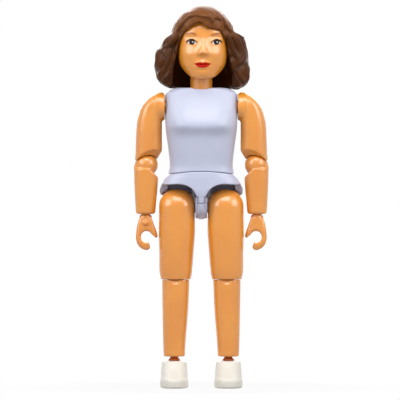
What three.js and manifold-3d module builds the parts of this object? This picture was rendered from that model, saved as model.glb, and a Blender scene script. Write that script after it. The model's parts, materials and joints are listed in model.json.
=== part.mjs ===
// A jointed toy figure: a hard-plastic doll about 109 mm tall, standing with its arms at its sides.
// Millimetres, +Z up. The figure faces -Y and its own left side is +X. The origin is on the floor.
import * as THREE from 'three';
import { mergeVertices } from 'three/addons/utils/BufferGeometryUtils.js';
import Module from 'manifold-3d';

const wasm = await Module();
wasm.setup();

// Clearances
const GAP = 0.3; // between neighbours that move past each other
const PIN_PLAY = 0.12; // radial play of a pin or peg in its hole
const SEAM = 0.12; // parting line between two halves of a shell
const HIP_PLAY = 0.45; // thigh dome to its pocket in the pelvis

// Lengths that add up from the floor to the crown of the hair
const SHOE_HEIGHT = 7.6;
const ANKLE_SHOWN = 1.5; // ankle neck between shoe and shin
const SHIN_LENGTH = 24.5; // shin bottom to knee axis
const THIGH_LENGTH = 17.7; // knee axis to hip axis
const HIP_TO_WAIST = 9.9;
const WAIST_TO_SHOULDER = 18.8;
const SHOULDER_TO_NECKLINE = 5.3;
const NECK_SHOWN = 2.7; // neckline to chin
const FACE_HEIGHT = 19.5; // chin to the top of the head under the hair
const HAIR_CROWN = 1.5; // hair above the head

// Leg
const HIP_OUT = 6.86; // middle plane of the figure to the middle of a thigh
const KNEE_OUT = 0.4; // hip to knee, sideways
const ANKLE_OUT = 0.45; // knee to ankle, sideways
const THIGH_HALF = 5.2;
const THIGH_DEPTH = 5.2; // radius of the domed top about the hip axis
const THIGH_POWER = 2.3; // squareness of the dome and of the upper thigh
const THIGH_MID_HALF = 4.87;
const KNEE_HALF = 4.2;
const KNEE_DEPTH = 4.05;
const KNEE_RIM = 2.8; // knee axis down to the thigh's rim
const KNEE_TONGUE = 4.4; // width of the shin's hinge tongue
const KNEE_PIN = 0.8; // pin radius
const KNEE_WALL = 0.9; // skin left over the blind end of a hinge pin
const PIN_RECESS = 0.3; // open end of a hinge pin below the surface
const SHIN_TOP_HALF = 3.9;
const SHIN_TOP_DEPTH = 3.8;
const CALF_HALF = 3.72;
const CALF_BACK = 4.1;
const SHIN_END_HALF = 3.03;
const SHIN_END_DEPTH = 2.95;
const SHIN_EDGE = 0.45; // rounding at the shin's lower end
const KNEE_SCOOP_HALF = 1.6; // crescent hollow under the knee
const KNEE_SCOOP_DROP = 1.5;
const KNEE_SCOOP_DEPTH = 0.65;

// Ankle and shoe
const ANKLE_BALL = 2.0;
const ANKLE_BALL_RISE = 1.9; // shin bottom up to the ball's centre
const ANKLE_NECK = 1.15;
const ANKLE_FLARE = 1.75;
const ANKLE_PEG = 1.5;
const ANKLE_PEG_DEPTH = 4.3;
const ANKLE_TILT = 15; // degrees each way
const ANKLE_EASE = 3; // degrees left over at the end of the tilt
const SHOE_HALF = 4.05;
const SHOE_TOP_HALF = 3.35;
const SHOE_TOE = 10.2; // ankle axis forward to the toe
const SHOE_HEEL = 5.3; // ankle axis back to the heel
const SHOE_EDGE = 0.3; // rounding of the sole and of the top
const TOE_BAND = 2.4; // height of the upright band round the sole
const INSTEP_TOE = 3.3;
const INSTEP_HEEL = 4.1;

// Pelvis
const PELVIS_HALF = 11.8;
const PELVIS_FRONT = 7.0;
const PELVIS_BACK = 7.5;
const PELVIS_RIM = 3.0; // hip axis up to the lower rim at the sides and back
const PELVIS_WIDEST = 5.7; // hip axis up to the widest level
const ARCH_RISE = 1.45; // leg opening above the thigh dome, in front
const STRAP_HALF = 0.95; // crotch strap
const KEEL_HALF = 1.45; // keel behind the strap, between the thighs
const KEEL_BACK = 0.86; // share of the strap's reach that the keel has
const KEEL_DROP = 3.4; // hip axis down to the underside of the strap
const KEEL_BEVEL = 0.4;
const CROTCH_SEAM = 1.1; // hip axis up to the seam across the strap
const HIP_AXLE = 1.5;
const HIP_AXLE_REACH = 5.0; // length of axle inside each thigh

// Waist and torso
const WAIST_HALF = 9.3;
const WAIST_FRONT = 6.4;
const WAIST_BACK = 6.0;
const WAIST_DOME = 90; // radius of the shallow dome that the torso turns on
const WAIST_PEG = 2.2;
const WAIST_FLANGE = 3.4;
const FLANGE_HEIGHT = 1.2;
const PELVIS_CEILING = 1.4; // pelvis left over the peg's lower flange
const TORSO_WALL = 1.4;
const TORSO_SLIM_HALF = 8.97;
const CHEST_HALF = 10.33;
const CHEST_FRONT = 6.6;
const CHEST_BACK = 6.8;
const BUST_OUT = 5.6;
const BUST_RISE = 13.1; // waist up to the bust line
const BUST_SWELL = 1.25;
const BUST_SHELF = 1.0; // swell between the two sides
const BUST_SPREAD = 2.9; // sideways
const SHELF_SPREAD = 8.5; // sideways
const BUST_ABOVE = 4.6;
const BUST_BELOW = 1.9;
const NECKLINE_HALF = 7.4;
const NECKLINE_FRONT = 4.0;
const NECKLINE_BACK = 4.7;

// Neck, head and hair
const NECK_RADIUS = 3.2;
const NECK_FLANGE = 3.9;
const NECK_IN_HEAD = 1.4; // wide part of the post above the chin line
const NECK_PIVOT = 2.0;
const NECK_PIVOT_LENGTH = 6.0;
const PIVOT_EDGE = 0.4;
const FACE_HALF = 7.1;
const FACE_ASIDE = 0.3; // middle of the face from the neck, to the figure's left
const FACE_FRONT = 7.9;
const HEAD_BACK = 6.6;
const NOSE_SWELL = 1.3;
const HAIR_HALF = 13.4;
const HAIR_BACK = 10.35;
const HAIR_FRONT = 8.9;
const HAIR_ABOVE_NECKLINE = 0.45;
const HAIR_WAVES = 11; // waves in half a turn round the head
const HAIR_WAVE_SWELL = 0.035; // share of the radius
const HAIR_WAVE_TWIST = 0.55; // radians per millimetre of height
const HAIRLINE_PEAK = 15.7; // chin to the parting

// Arm
const ARM_CLEAR = 0.25; // torso side to shoulder boss
const SHOULDER_BOSS = 3.8;
const BOSS_HEIGHT = 0.6; // boss face to the inner side of the arm
const SHOULDER_PEG = 1.8;
const SHOULDER_FLANGE = 2.5;
const ELBOW_OUT = 5.07; // boss face to elbow centre, sideways
const ARM_RIM_IN = 0.35; // elbow centre in to the middle of the upper arm's rim
const UPPER_ARM_LENGTH = 16.5;
const UPPER_ARM_HALF = 3.75;
const UPPER_ARM_DEPTH = 3.75;
const ELBOW_BALL = 3.3;
const ELBOW_RIM = 1.2; // elbow centre up to the upper arm's lower rim
const ELBOW_SLANT = 47; // degrees, bevel in the crook of the elbow
const ELBOW_INWARD = 6; // degrees, the elbow folds forward and a little inward
const CROOK_INWARD = 20; // degrees, way that the bevel in the crook faces
const ELBOW_FOLD = 55; // degrees of travel
const CROOK_CORNER = 58; // degrees, steepness of the cut corner beside the body
const CROOK_CORNER_IN = 2.0; // elbow centre in to where that cut would meet its level
const ELBOW_DISC = 2.3; // tongue inside the ball
const ELBOW_TONGUE = 1.8;
const ELBOW_WEB = 1.0; // half width of the web that carries the tongue
const ELBOW_WEB_ROOT = 0.9; // length of web sunk into the upper arm
const ELBOW_WEB_ANGLE = 138; // degrees from the crook, over the top, to the web
const ELBOW_PIN = 0.6;
const ELBOW_SKIN = 0.7; // ball left over the pin's blind end
const FOREARM_LENGTH = 14.1;
const FOREARM_HALF = 3.58;
const FOREARM_DEPTH = 3.45;
const FOREARM_TOP_DROP = 1.0; // elbow centre down to the slanted top, at the axis
const FOREARM_TOP_SLOPE = 38; // degrees, down towards the body
const FOREARM_TOP_PITCH = 4; // degrees, up towards the front
const FOREARM_RIM_DROP = 0.4; // elbow centre down to the rim of the outer wall
const FOREARM_RIM_PITCH = 16; // degrees, down towards the front
const WRIST_OUT = 0.22;
const WRIST_HALF = 2.82;
const WRIST_DEPTH = 2.7;
const WRIST_EDGE = 0.8;
const WRIST_NECK = 1.75;
const WRIST_PEG = 1.3;
const WRIST_PEG_LENGTH = 4.5;

// Hand
const HAND_THICKNESS = 4.0;
const HAND_HALF = 3.5; // half width of the rounded section that the hand is cut from
const HAND_MIDDLE = -0.27;
const HAND_LENGTH = 10.5;
const HAND_TOP = 0.9; // wrist face down to the flat top of the palm
const HAND_NECK_DEPTH = 2.4; // wrist face down to the end of the neck inside the palm
const FINGER = 1.8; // thickness of the fingers round the grip
const GRIP_RADIUS = 1.6; // the grip holds a 3.2 mm bar
const GRIP_DROP = 6.45; // wrist face down to the grip's centre
const GRIP_IN = 0.26;
const GRIP_FROM = 250; // degrees, fingertip end of the ring
const GRIP_TO = 510; // degrees, thumb end of the ring
const KNUCKLE_RADIUS = 0.85;
const KNUCKLE_SINK = 0.4; // the hand's face in to the middle of the knuckle
const KNUCKLE_DROP = 2.5;

// Levels and places that follow from the sizes above
const shinBottom = SHOE_HEIGHT + ANKLE_SHOWN;
const ankleZ = shinBottom + ANKLE_BALL_RISE;
const kneeZ = shinBottom + SHIN_LENGTH;
const hipZ = kneeZ + THIGH_LENGTH;
const waistZ = hipZ + HIP_TO_WAIST;
const necklineZ = waistZ + WAIST_TO_SHOULDER + SHOULDER_TO_NECKLINE;
const torsoHeight = necklineZ - waistZ;
const shoulderOut = CHEST_HALF + ARM_CLEAR;
const RADIAN = Math.PI / 180;
const FAR = 30; // reaches past the whole cross-section of any piece

// Facets round a pin, a ball, an arm or shin, a thigh or shoe, the body and the hair
const ROUND_SIDES = 12;
const BALL_SIDES = 14;
const LIMB_SIDES = 16;
const WIDE_SIDES = 18;
const BODY_SIDES = 26;
const HAIR_SIDES = 28;

const plastic = (colour, roughness) =>
  new THREE.MeshStandardMaterial({ color: colour, roughness, metalness: 0 });
const flesh = plastic(0xe4984e, 0.3);
const lavender = plastic(0xbabed4, 0.28);
const hairBrown = plastic(0x52301a, 0.32);
const shoeWhite = plastic(0xf8f6f2, 0.3);
const pinGrey = plastic(0xb8b8ba, 0.4);

const signedPower = (value, power) => Math.sign(value) * Math.abs(value) ** power;

// A closed skin over key sections stacked along Z. A section has a half width, which may differ on the -X
// side, a reach to the front and to the back and a squareness; mould() may push single points to raise a
// nose or a bust.
function loft(sections, sides = LIMB_SIDES, mould = null) {
  const points = [];
  const centre = (s) => new THREE.Vector3(s.x ?? 0, s.y ?? 0, s.z);
  for (const section of sections) {
    const { half, front, other = half, back = front, power = 2.4 } = section;
    for (let k = 0; k < sides; k += 1) {
      const angle = (2 * Math.PI * k) / sides;
      const across = signedPower(Math.cos(angle), 2 / power);
      const along = signedPower(Math.sin(angle), 2 / power);
      const point = centre(section);
      point.x += (across < 0 ? other : half) * across;
      point.y += (along < 0 ? front : back) * along;
      if (mould) mould(point);
      points.push(point);
    }
  }
  const top = sections.length - 1;
  const foot = points.push(centre(sections[0])) - 1;
  const head = points.push(centre(sections[top])) - 1;
  const faces = [];
  for (let k = 0; k < sides; k += 1) {
    const n = (k + 1) % sides;
    faces.push(foot, n, k, head, top * sides + k, top * sides + n);
    for (let r = 0; r < top; r += 1) {
      const low = r * sides;
      const high = low + sides;
      faces.push(low + k, low + n, high + n, low + k, high + n, high + k);
    }
  }
  const geometry = new THREE.BufferGeometry().setFromPoints(points);
  geometry.setIndex(faces);
  return geometry;
}

// Solid of revolution about Z from [radius, height] pairs that start and end on the axis.
function turned(profile, sides = ROUND_SIDES) {
  const points = profile.map(([radius, height]) => new THREE.Vector2(radius, height));
  return new THREE.LatheGeometry(points, sides).rotateX(Math.PI / 2);
}

// The same about X: the pairs are [radius, distance along X].
const turnedAlongX = (profile, sides = ROUND_SIDES) => turned(profile, sides).rotateY(Math.PI / 2);

const rod = (radius, from, to, sides = ROUND_SIDES) =>
  turned([[0, from], [radius, from], [radius, to], [0, to]], sides);

const rodAlongX = (radius, from, to) => rod(radius, from, to).rotateY(Math.PI / 2);

// Shape drawn in (y, z) and carried along X from one distance to another.
function prismAlongX(shape, from, to, options = {}) {
  const geometry = new THREE.ExtrudeGeometry(shape, {
    depth: to - from, bevelEnabled: false, curveSegments: 12, ...options,
  });
  const turn = new THREE.Matrix4().makeBasis(
    new THREE.Vector3(0, 1, 0), new THREE.Vector3(0, 0, 1), new THREE.Vector3(1, 0, 0));
  return geometry.applyMatrix4(turn).translate(from, 0, 0);
}

// Shape drawn in (x, z) and carried along Y from one distance to another.
function prismAlongY(shape, from, to, options = {}) {
  const geometry = new THREE.ExtrudeGeometry(shape, {
    depth: to - from, bevelEnabled: false, curveSegments: 12, ...options,
  });
  return geometry.rotateX(Math.PI / 2).translate(0, to, 0);
}

const ball = (radius, x = 0, y = 0, z = 0, sides = BALL_SIDES) =>
  new THREE.SphereGeometry(radius, sides, Math.round(sides * 0.6)).rotateX(Math.PI / 2).translate(x, y, z);

const block = (x0, x1, y0, y1, z0, z1) =>
  new THREE.BoxGeometry(x1 - x0, y1 - y0, z1 - z0).translate((x0 + x1) / 2, (y0 + y1) / 2, (z0 + z1) / 2);

function polygon(points) {
  return new THREE.Shape(points.map(([u, v]) => new THREE.Vector2(u, v)));
}

// A closed geometry as a solid for joining and cutting, with its faces pointing out.
function solid(shape) {
  if (!shape.isBufferGeometry) return shape;
  const bare = shape.clone();
  bare.deleteAttribute('normal');
  bare.deleteAttribute('uv');
  const merged = mergeVertices(bare, 1e-4);
  const corners = merged.index.array;
  const kept = [];
  for (let i = 0; i < corners.length; i += 3) {
    const [a, b, c] = corners.slice(i, i + 3);
    if (a !== b && b !== c && c !== a) kept.push(a, b, c);
  }
  const vertProperties = Float32Array.from(merged.attributes.position.array);
  const make = (triangles) =>
    new wasm.Manifold(new wasm.Mesh({ numProp: 3, vertProperties, triVerts: Uint32Array.from(triangles) }));
  const made = make(kept);
  return made.volume() < 0 ? make(kept.reverse()) : made;
}

const join = (...shapes) => shapes.map(solid).reduce((whole, next) => whole.add(next));
const cut = (base, ...tools) => tools.map(solid).reduce((left, tool) => left.subtract(tool), solid(base));
const common = (a, b) => solid(a).intersect(solid(b));

function geometryOf(shape) {
  const mesh = solid(shape).getMesh();
  const geometry = new THREE.BufferGeometry();
  geometry.setAttribute('position', new THREE.BufferAttribute(Float32Array.from(mesh.vertProperties), 3));
  geometry.setIndex(new THREE.BufferAttribute(Uint32Array.from(mesh.triVerts), 1));
  return geometry;
}

// The other side's piece: the same shape reflected in the middle plane, faces still pointing out.
function reflected(geometry) {
  const copy = geometry.clone().scale(-1, 1, 1);
  copy.index.array.reverse();
  return copy;
}

function addPiece(group, name, shape, material, mirror = false) {
  const geometry = geometryOf(shape);
  const mesh = new THREE.Mesh(mirror ? reflected(geometry) : geometry, material);
  mesh.name = name;
  mesh.geometry.computeVertexNormals();
  group.add(mesh);
}

function addGroup(parent, x, y, z) {
  const group = new THREE.Group();
  group.position.set(x, y, z);
  parent.add(group);
  return group;
}

// Shoe, in the frame of the ankle ball: a moulded slip-on with an upright toe band and a sloping upper.
function shoe() {
  const floor = -ankleZ;
  const top = floor + SHOE_HEIGHT;
  const rise = SHOE_HEIGHT - TOE_BAND;
  const slope = SHOE_TOE - INSTEP_TOE;
  const taper = SHOE_HALF - SHOE_TOP_HALF;
  const edge = SHOE_EDGE;
  const body = loft([
    { z: floor, half: SHOE_HALF - edge, front: SHOE_TOE - edge, back: SHOE_HEEL - edge, power: 2.7 },
    { z: floor + edge, half: SHOE_HALF, front: SHOE_TOE, back: SHOE_HEEL, power: 2.7 },
    { z: floor + TOE_BAND, half: SHOE_HALF, front: SHOE_TOE, back: SHOE_HEEL, power: 2.7 },
    { z: floor + TOE_BAND + 0.1 * rise, half: SHOE_HALF - 0.1 * taper,
      front: SHOE_TOE - 0.14 * slope, back: SHOE_HEEL - edge / 2, power: 2.6 },
    { z: floor + TOE_BAND + 0.5 * rise, half: SHOE_HALF - 0.5 * taper,
      front: SHOE_TOE - 0.58 * slope, back: SHOE_HEEL - edge, power: 2.5 },
    { z: top - edge, half: SHOE_TOP_HALF, front: INSTEP_TOE + edge, back: INSTEP_HEEL + edge },
    { z: top, half: SHOE_TOP_HALF - edge, front: INSTEP_TOE, back: INSTEP_HEEL },
  ], WIDE_SIDES);
  const hole = rod(ANKLE_PEG + PIN_PLAY, top - ANKLE_PEG_DEPTH - GAP, top + 1);
  return cut(body, hole);
}

// Ankle post: a peg in the shoe, a flared neck and a ball in the shin.
function anklePost() {
  const shoeTop = SHOE_HEIGHT - ankleZ;
  const seat = shoeTop + GAP / 2;
  const ballFoot = -Math.sqrt(ANKLE_BALL ** 2 - ANKLE_NECK ** 2);
  const profile = [
    [0, shoeTop - ANKLE_PEG_DEPTH], [ANKLE_PEG, shoeTop - ANKLE_PEG_DEPTH], [ANKLE_PEG, seat],
    [ANKLE_FLARE, seat], [ANKLE_FLARE, seat + 0.1 * ANKLE_SHOWN], [ANKLE_NECK, seat + 0.45 * ANKLE_SHOWN],
  ];
  const from = Math.atan2(ballFoot, ANKLE_NECK);
  const turns = 6;
  for (let i = 0; i <= turns; i += 1) {
    const angle = from + (i / turns) * (Math.PI / 2 - from);
    profile.push([i === turns ? 0 : ANKLE_BALL * Math.cos(angle), ANKLE_BALL * Math.sin(angle)]);
  }
  return turned(profile);
}

// Shin, in the frame of the knee axis: a tapering calf, a hinge tongue above and the ankle socket below.
function shin() {
  const bottom = -SHIN_LENGTH;
  const top = -KNEE_RIM - GAP;
  const calf = bottom + 0.6 * SHIN_LENGTH;
  const body = loft([
    { z: bottom, x: ANKLE_OUT, half: SHIN_END_HALF - SHIN_EDGE, front: SHIN_END_DEPTH - SHIN_EDGE },
    { z: bottom + 0.3 * SHIN_EDGE, x: ANKLE_OUT, half: SHIN_END_HALF - 0.3 * SHIN_EDGE,
      front: SHIN_END_DEPTH - 0.3 * SHIN_EDGE },
    { z: bottom + SHIN_EDGE, x: ANKLE_OUT, half: SHIN_END_HALF, front: SHIN_END_DEPTH },
    { z: bottom + 0.3 * SHIN_LENGTH, x: 0.6 * ANKLE_OUT, half: 0.5 * (CALF_HALF + SHIN_END_HALF),
      front: 0.48 * SHIN_TOP_DEPTH + 0.5 * SHIN_END_DEPTH, back: 0.5 * (CALF_BACK + SHIN_END_DEPTH) },
    { z: calf, x: 0.25 * ANKLE_OUT, half: CALF_HALF, front: 0.95 * SHIN_TOP_DEPTH, back: CALF_BACK },
    { z: top, x: 0, half: SHIN_TOP_HALF, front: SHIN_TOP_DEPTH },
  ]);
  const tongueRadius = KNEE_RIM - GAP;
  const tongue = new THREE.Shape();
  tongue.moveTo(-tongueRadius, top - 1);
  tongue.lineTo(tongueRadius, top - 1);
  tongue.lineTo(tongueRadius, 0);
  tongue.absarc(0, 0, tongueRadius, 0, Math.PI, false);
  const web = prismAlongX(tongue, -KNEE_TONGUE / 2, KNEE_TONGUE / 2);
  const socketZ = bottom + ANKLE_BALL_RISE;
  const neckAngle = Math.asin(ANKLE_NECK / (ANKLE_BALL + GAP));
  const mouth = Math.tan(neckAngle + (ANKLE_TILT + ANKLE_EASE) * RADIAN);
  const mouthDrop = ANKLE_BALL_RISE + 1;
  const socket = join(
    ball(ANKLE_BALL + GAP, ANKLE_OUT, 0, socketZ, ROUND_SIDES),
    turned([[0, -mouthDrop], [mouth * mouthDrop, -mouthDrop], [0, 0]]).translate(ANKLE_OUT, 0, socketZ));
  const scoop = new THREE.SphereGeometry(1, 12, 8)
    .scale(KNEE_SCOOP_HALF, KNEE_SCOOP_DEPTH, KNEE_SCOOP_DROP).translate(0, -SHIN_TOP_DEPTH, top);
  return cut(join(body, web), socket, scoop, rodAlongX(KNEE_PIN + PIN_PLAY, -FAR, FAR));
}

const kneePinInner = PIN_RECESS - KNEE_HALF;
const kneePinOuter = KNEE_HALF - KNEE_WALL;
const kneePin = () => rodAlongX(KNEE_PIN, kneePinInner, kneePinOuter);

// Radius of the thigh's dome about the hip axis, at a share of its half width from the middle.
const domeRadius = (share, half, depth) =>
  [depth * (1 - Math.min(1, Math.abs(share)) ** THIGH_POWER) ** (1 / THIGH_POWER), share * half];

function thighDome(play) {
  const profile = [];
  const turns = 9;
  for (let i = 0; i <= turns; i += 1) {
    const share = -Math.cos((Math.PI * i) / turns);
    profile.push(domeRadius(share, THIGH_HALF + play, THIGH_DEPTH + play));
  }
  profile[0][0] = 0;
  profile[turns][0] = 0;
  return turnedAlongX(profile, WIDE_SIDES);
}

// Thigh, in the frame of the hip: a domed top that turns in the pelvis and a forked skirt over the knee.
function thigh() {
  const knee = -THIGH_LENGTH;
  const leg = loft([
    { z: knee - KNEE_RIM, x: KNEE_OUT, half: KNEE_HALF, front: KNEE_DEPTH },
    { z: knee - 0.2 * KNEE_RIM, x: KNEE_OUT, half: 0.55 * KNEE_HALF + 0.45 * THIGH_HALF,
      front: 0.65 * KNEE_DEPTH + 0.35 * THIGH_DEPTH },
    { z: 0.75 * knee, x: 0.6 * KNEE_OUT, half: THIGH_MID_HALF, front: 0.3 * KNEE_DEPTH + 0.7 * THIGH_DEPTH },
    { z: 0.3 * knee, x: 0.15 * KNEE_OUT, half: THIGH_HALF, front: THIGH_DEPTH, power: THIGH_POWER },
    { z: 0, x: 0, half: THIGH_HALF, front: THIGH_DEPTH, power: THIGH_POWER },
  ], WIDE_SIDES);
  const slotHalf = KNEE_TONGUE / 2 + GAP;
  const slotShape = new THREE.Shape();
  slotShape.moveTo(-KNEE_RIM, -FAR);
  slotShape.lineTo(FAR, -FAR);
  slotShape.lineTo(FAR, KNEE_RIM);
  slotShape.lineTo(0, KNEE_RIM);
  slotShape.absarc(0, 0, KNEE_RIM, Math.PI / 2, Math.PI, false);
  const slot = prismAlongX(slotShape, -slotHalf, slotHalf);
  const backRise = SHIN_TOP_DEPTH + GAP;
  const notchShape = new THREE.Shape();
  notchShape.moveTo(0, -KNEE_RIM);
  notchShape.absarc(0, 0, KNEE_RIM, -Math.PI / 2, 0, false);
  notchShape.lineTo(KNEE_RIM, backRise);
  notchShape.lineTo(FAR, backRise + FAR - KNEE_RIM);
  notchShape.lineTo(FAR, -FAR);
  notchShape.lineTo(0, -FAR);
  const notch = prismAlongX(notchShape, -FAR, FAR);
  const pinHole = rodAlongX(KNEE_PIN + PIN_PLAY, -FAR, kneePinOuter + PIN_PLAY);
  const knees = [slot, notch, pinHole].map((tool) => tool.translate(KNEE_OUT, 0, knee));
  const bore = rodAlongX(HIP_AXLE + PIN_PLAY, -FAR, HIP_AXLE_REACH + GAP - THIGH_HALF);
  return cut(join(thighDome(0), leg), ...knees, bore);
}

// The dome at the waist as a surface height above the waist level, by distance from the axis.
const waistCrown = WAIST_HALF ** 2 / (2 * WAIST_DOME);
const waistDome = (radius) => waistCrown - radius ** 2 / (2 * WAIST_DOME);

// Everything above (1) or below (-1) the waist dome, set back by half a gap.
function waistCutter(side) {
  const profile = [[0, waistDome(0) - (side * GAP) / 2]];
  const turns = 4;
  for (let i = 1; i <= turns; i += 1) {
    const radius = (1.5 * WAIST_HALF * i) / turns;
    profile.push([radius, waistDome(radius) - (side * GAP) / 2]);
  }
  profile.push([1.5 * WAIST_HALF, side * FAR], [0, side * FAR]);
  return turned(profile, BODY_SIDES);
}

// Pelvis, in the frame of the hip axis: a block with two leg pockets and a keel between the thighs.
function pelvis() {
  const waist = HIP_TO_WAIST;
  const shell = loft([
    { z: PELVIS_RIM, half: 0.99 * PELVIS_HALF, front: 0.97 * PELVIS_FRONT, back: PELVIS_BACK, power: 2.5 },
    { z: PELVIS_WIDEST, half: PELVIS_HALF, front: PELVIS_FRONT, back: PELVIS_BACK, power: 2.5 },
    { z: 0.5 * (PELVIS_WIDEST + waist), half: 0.5 * (WAIST_HALF + PELVIS_HALF),
      front: 0.4 * WAIST_FRONT + 0.6 * PELVIS_FRONT,
      back: 0.4 * WAIST_BACK + 0.6 * PELVIS_BACK, power: 2.5 },
    { z: waist, half: WAIST_HALF, front: WAIST_FRONT, back: WAIST_BACK, power: 2.5 },
    { z: waist + 2 * waistCrown, half: WAIST_HALF, front: WAIST_FRONT, back: WAIST_BACK, power: 2.5 },
  ], BODY_SIDES);
  const arch = new THREE.Shape();
  arch.moveTo(STRAP_HALF, -FAR);
  arch.lineTo(STRAP_HALF, 0);
  arch.absellipse(HIP_OUT, 0, HIP_OUT - STRAP_HALF, THIGH_DEPTH + ARCH_RISE, Math.PI, Math.PI / 2, true);
  arch.lineTo(FAR, THIGH_DEPTH + ARCH_RISE);
  arch.lineTo(FAR, -FAR);
  const domes = [];
  const openings = [];
  for (const side of [1, -1]) {
    const opening = prismAlongY(arch, -FAR, GAP);
    domes.push(solid(thighDome(HIP_PLAY).translate(side * HIP_OUT, 0, 0)));
    openings.push(solid(side > 0 ? opening : opening.scale(-1, 1, 1)));
  }
  // Underside of the crotch from front to back, at a share of its full reach.
  const crotch = (half, share) => {
    const shape = new THREE.Shape();
    shape.moveTo(-0.95 * share * PELVIS_FRONT, PELVIS_WIDEST);
    shape.splineThru([
      [-0.93 * PELVIS_FRONT, 0.6 * PELVIS_WIDEST], [-0.88 * PELVIS_FRONT, CROTCH_SEAM],
      [-0.68 * PELVIS_FRONT, -0.55 * KEEL_DROP], [0, -KEEL_DROP],
      [0.68 * PELVIS_BACK, -0.55 * KEEL_DROP], [0.88 * PELVIS_BACK, CROTCH_SEAM],
      [0.95 * PELVIS_BACK, PELVIS_RIM], [0.93 * PELVIS_BACK, PELVIS_WIDEST],
    ].map(([y, z]) => new THREE.Vector2(share * y, z < 0 ? share * z : z)));
    return prismAlongX(shape, KEEL_BEVEL - half, half - KEEL_BEVEL, {
      bevelEnabled: true, bevelSegments: 1, bevelThickness: KEEL_BEVEL, bevelSize: KEEL_BEVEL,
      bevelOffset: -KEEL_BEVEL, curveSegments: 2,
    });
  };
  const keel = cut(crotch(KEEL_HALF, KEEL_BACK), ...domes);
  const strap = crotch(STRAP_HALF, 1);
  const axleHole = rodAlongX(HIP_AXLE + PIN_PLAY, -FAR, FAR);
  const pegSeat = waistPeg(PIN_PLAY).translate(0, 0, waist);
  const body = join(cut(shell, ...domes, ...openings), keel, strap);
  return cut(body, waistCutter(1).translate(0, 0, waist), axleHole, pegSeat);
}

// Flanged peg at the waist, in the torso's frame: the lower flange sits in the pelvis, the upper one
// in the torso. With play it is the shape of its seat.
function waistPeg(play) {
  const lowTop = waistDome(0) - PELVIS_CEILING;
  const highBottom = waistDome(0) + TORSO_WALL + GAP;
  return turned([
    [0, lowTop - FLANGE_HEIGHT - play], [WAIST_FLANGE + play, lowTop - FLANGE_HEIGHT - play],
    [WAIST_FLANGE + play, lowTop + play], [WAIST_PEG + play, lowTop + play],
    [WAIST_PEG + play, highBottom - play], [WAIST_FLANGE + play, highBottom - play],
    [WAIST_FLANGE + play, highBottom + FLANGE_HEIGHT + play], [0, highBottom + FLANGE_HEIGHT + play],
  ]);
}

// Front half: the panel down to the seam across the crotch strap.
function pelvisFront(whole) {
  return common(whole, block(-FAR, FAR, -FAR, -SEAM / 2, CROTCH_SEAM + SEAM / 2, FAR));
}

// Back half: it wraps under the crotch and up the front to that seam.
function pelvisBack(whole) {
  return cut(whole, block(-FAR, FAR, -FAR, SEAM / 2, CROTCH_SEAM - SEAM / 2, FAR));
}

const hipAxle = () => rodAlongX(HIP_AXLE, -hipAxleReach, hipAxleReach);
const hipAxleReach = HIP_OUT - THIGH_HALF + HIP_AXLE_REACH;

function torsoSections(inset) {
  const h = torsoHeight;
  const underBust = BUST_RISE - 1.4 * BUST_BELOW;
  const shoulder = WAIST_TO_SHOULDER;
  const drop = SHOULDER_TO_NECKLINE;
  const levels = [
    [0, WAIST_HALF, WAIST_FRONT, WAIST_BACK],
    [0.15 * BUST_RISE, TORSO_SLIM_HALF, 0.97 * WAIST_FRONT, 0.97 * WAIST_BACK],
    [0.5 * BUST_RISE, 0.7 * TORSO_SLIM_HALF + 0.3 * CHEST_HALF, WAIST_FRONT,
      0.8 * WAIST_BACK + 0.2 * CHEST_BACK],
    [underBust, 0.37 * TORSO_SLIM_HALF + 0.63 * CHEST_HALF, 0.5 * (WAIST_FRONT + CHEST_FRONT),
      0.4 * WAIST_BACK + 0.6 * CHEST_BACK],
    [BUST_RISE, 0.985 * CHEST_HALF, CHEST_FRONT, CHEST_BACK],
    [shoulder, CHEST_HALF, 0.4 * NECKLINE_FRONT + 0.6 * CHEST_FRONT, 0.98 * CHEST_BACK],
    [h - 0.34 * drop, 0.99 * CHEST_HALF, 0.75 * NECKLINE_FRONT + 0.25 * CHEST_FRONT,
      0.6 * CHEST_BACK + 0.4 * NECKLINE_BACK],
    [h - 0.08 * drop, 0.6 * NECKLINE_HALF + 0.4 * CHEST_HALF, 1.07 * NECKLINE_FRONT, 1.07 * NECKLINE_BACK],
    [h, NECKLINE_HALF, NECKLINE_FRONT, NECKLINE_BACK],
  ];
  return levels.map(([z, half, front, back]) =>
    ({ z, half: half - inset, front: front - inset, back: back - inset, power: 2.6 }));
}

// Swell of the bust, added to the front of the torso.
function mouldBust(point) {
  if (point.y >= 0) return;
  const across = (Math.abs(point.x) - BUST_OUT) / BUST_SPREAD;
  const middle = point.x / SHELF_SPREAD;
  const up = (point.z - BUST_RISE) / (point.z > BUST_RISE ? BUST_ABOVE : BUST_BELOW);
  const swell = BUST_SWELL * Math.exp(-across * across) + BUST_SHELF * Math.exp(-middle * middle);
  point.y -= swell * Math.exp(-up * up);
}

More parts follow.
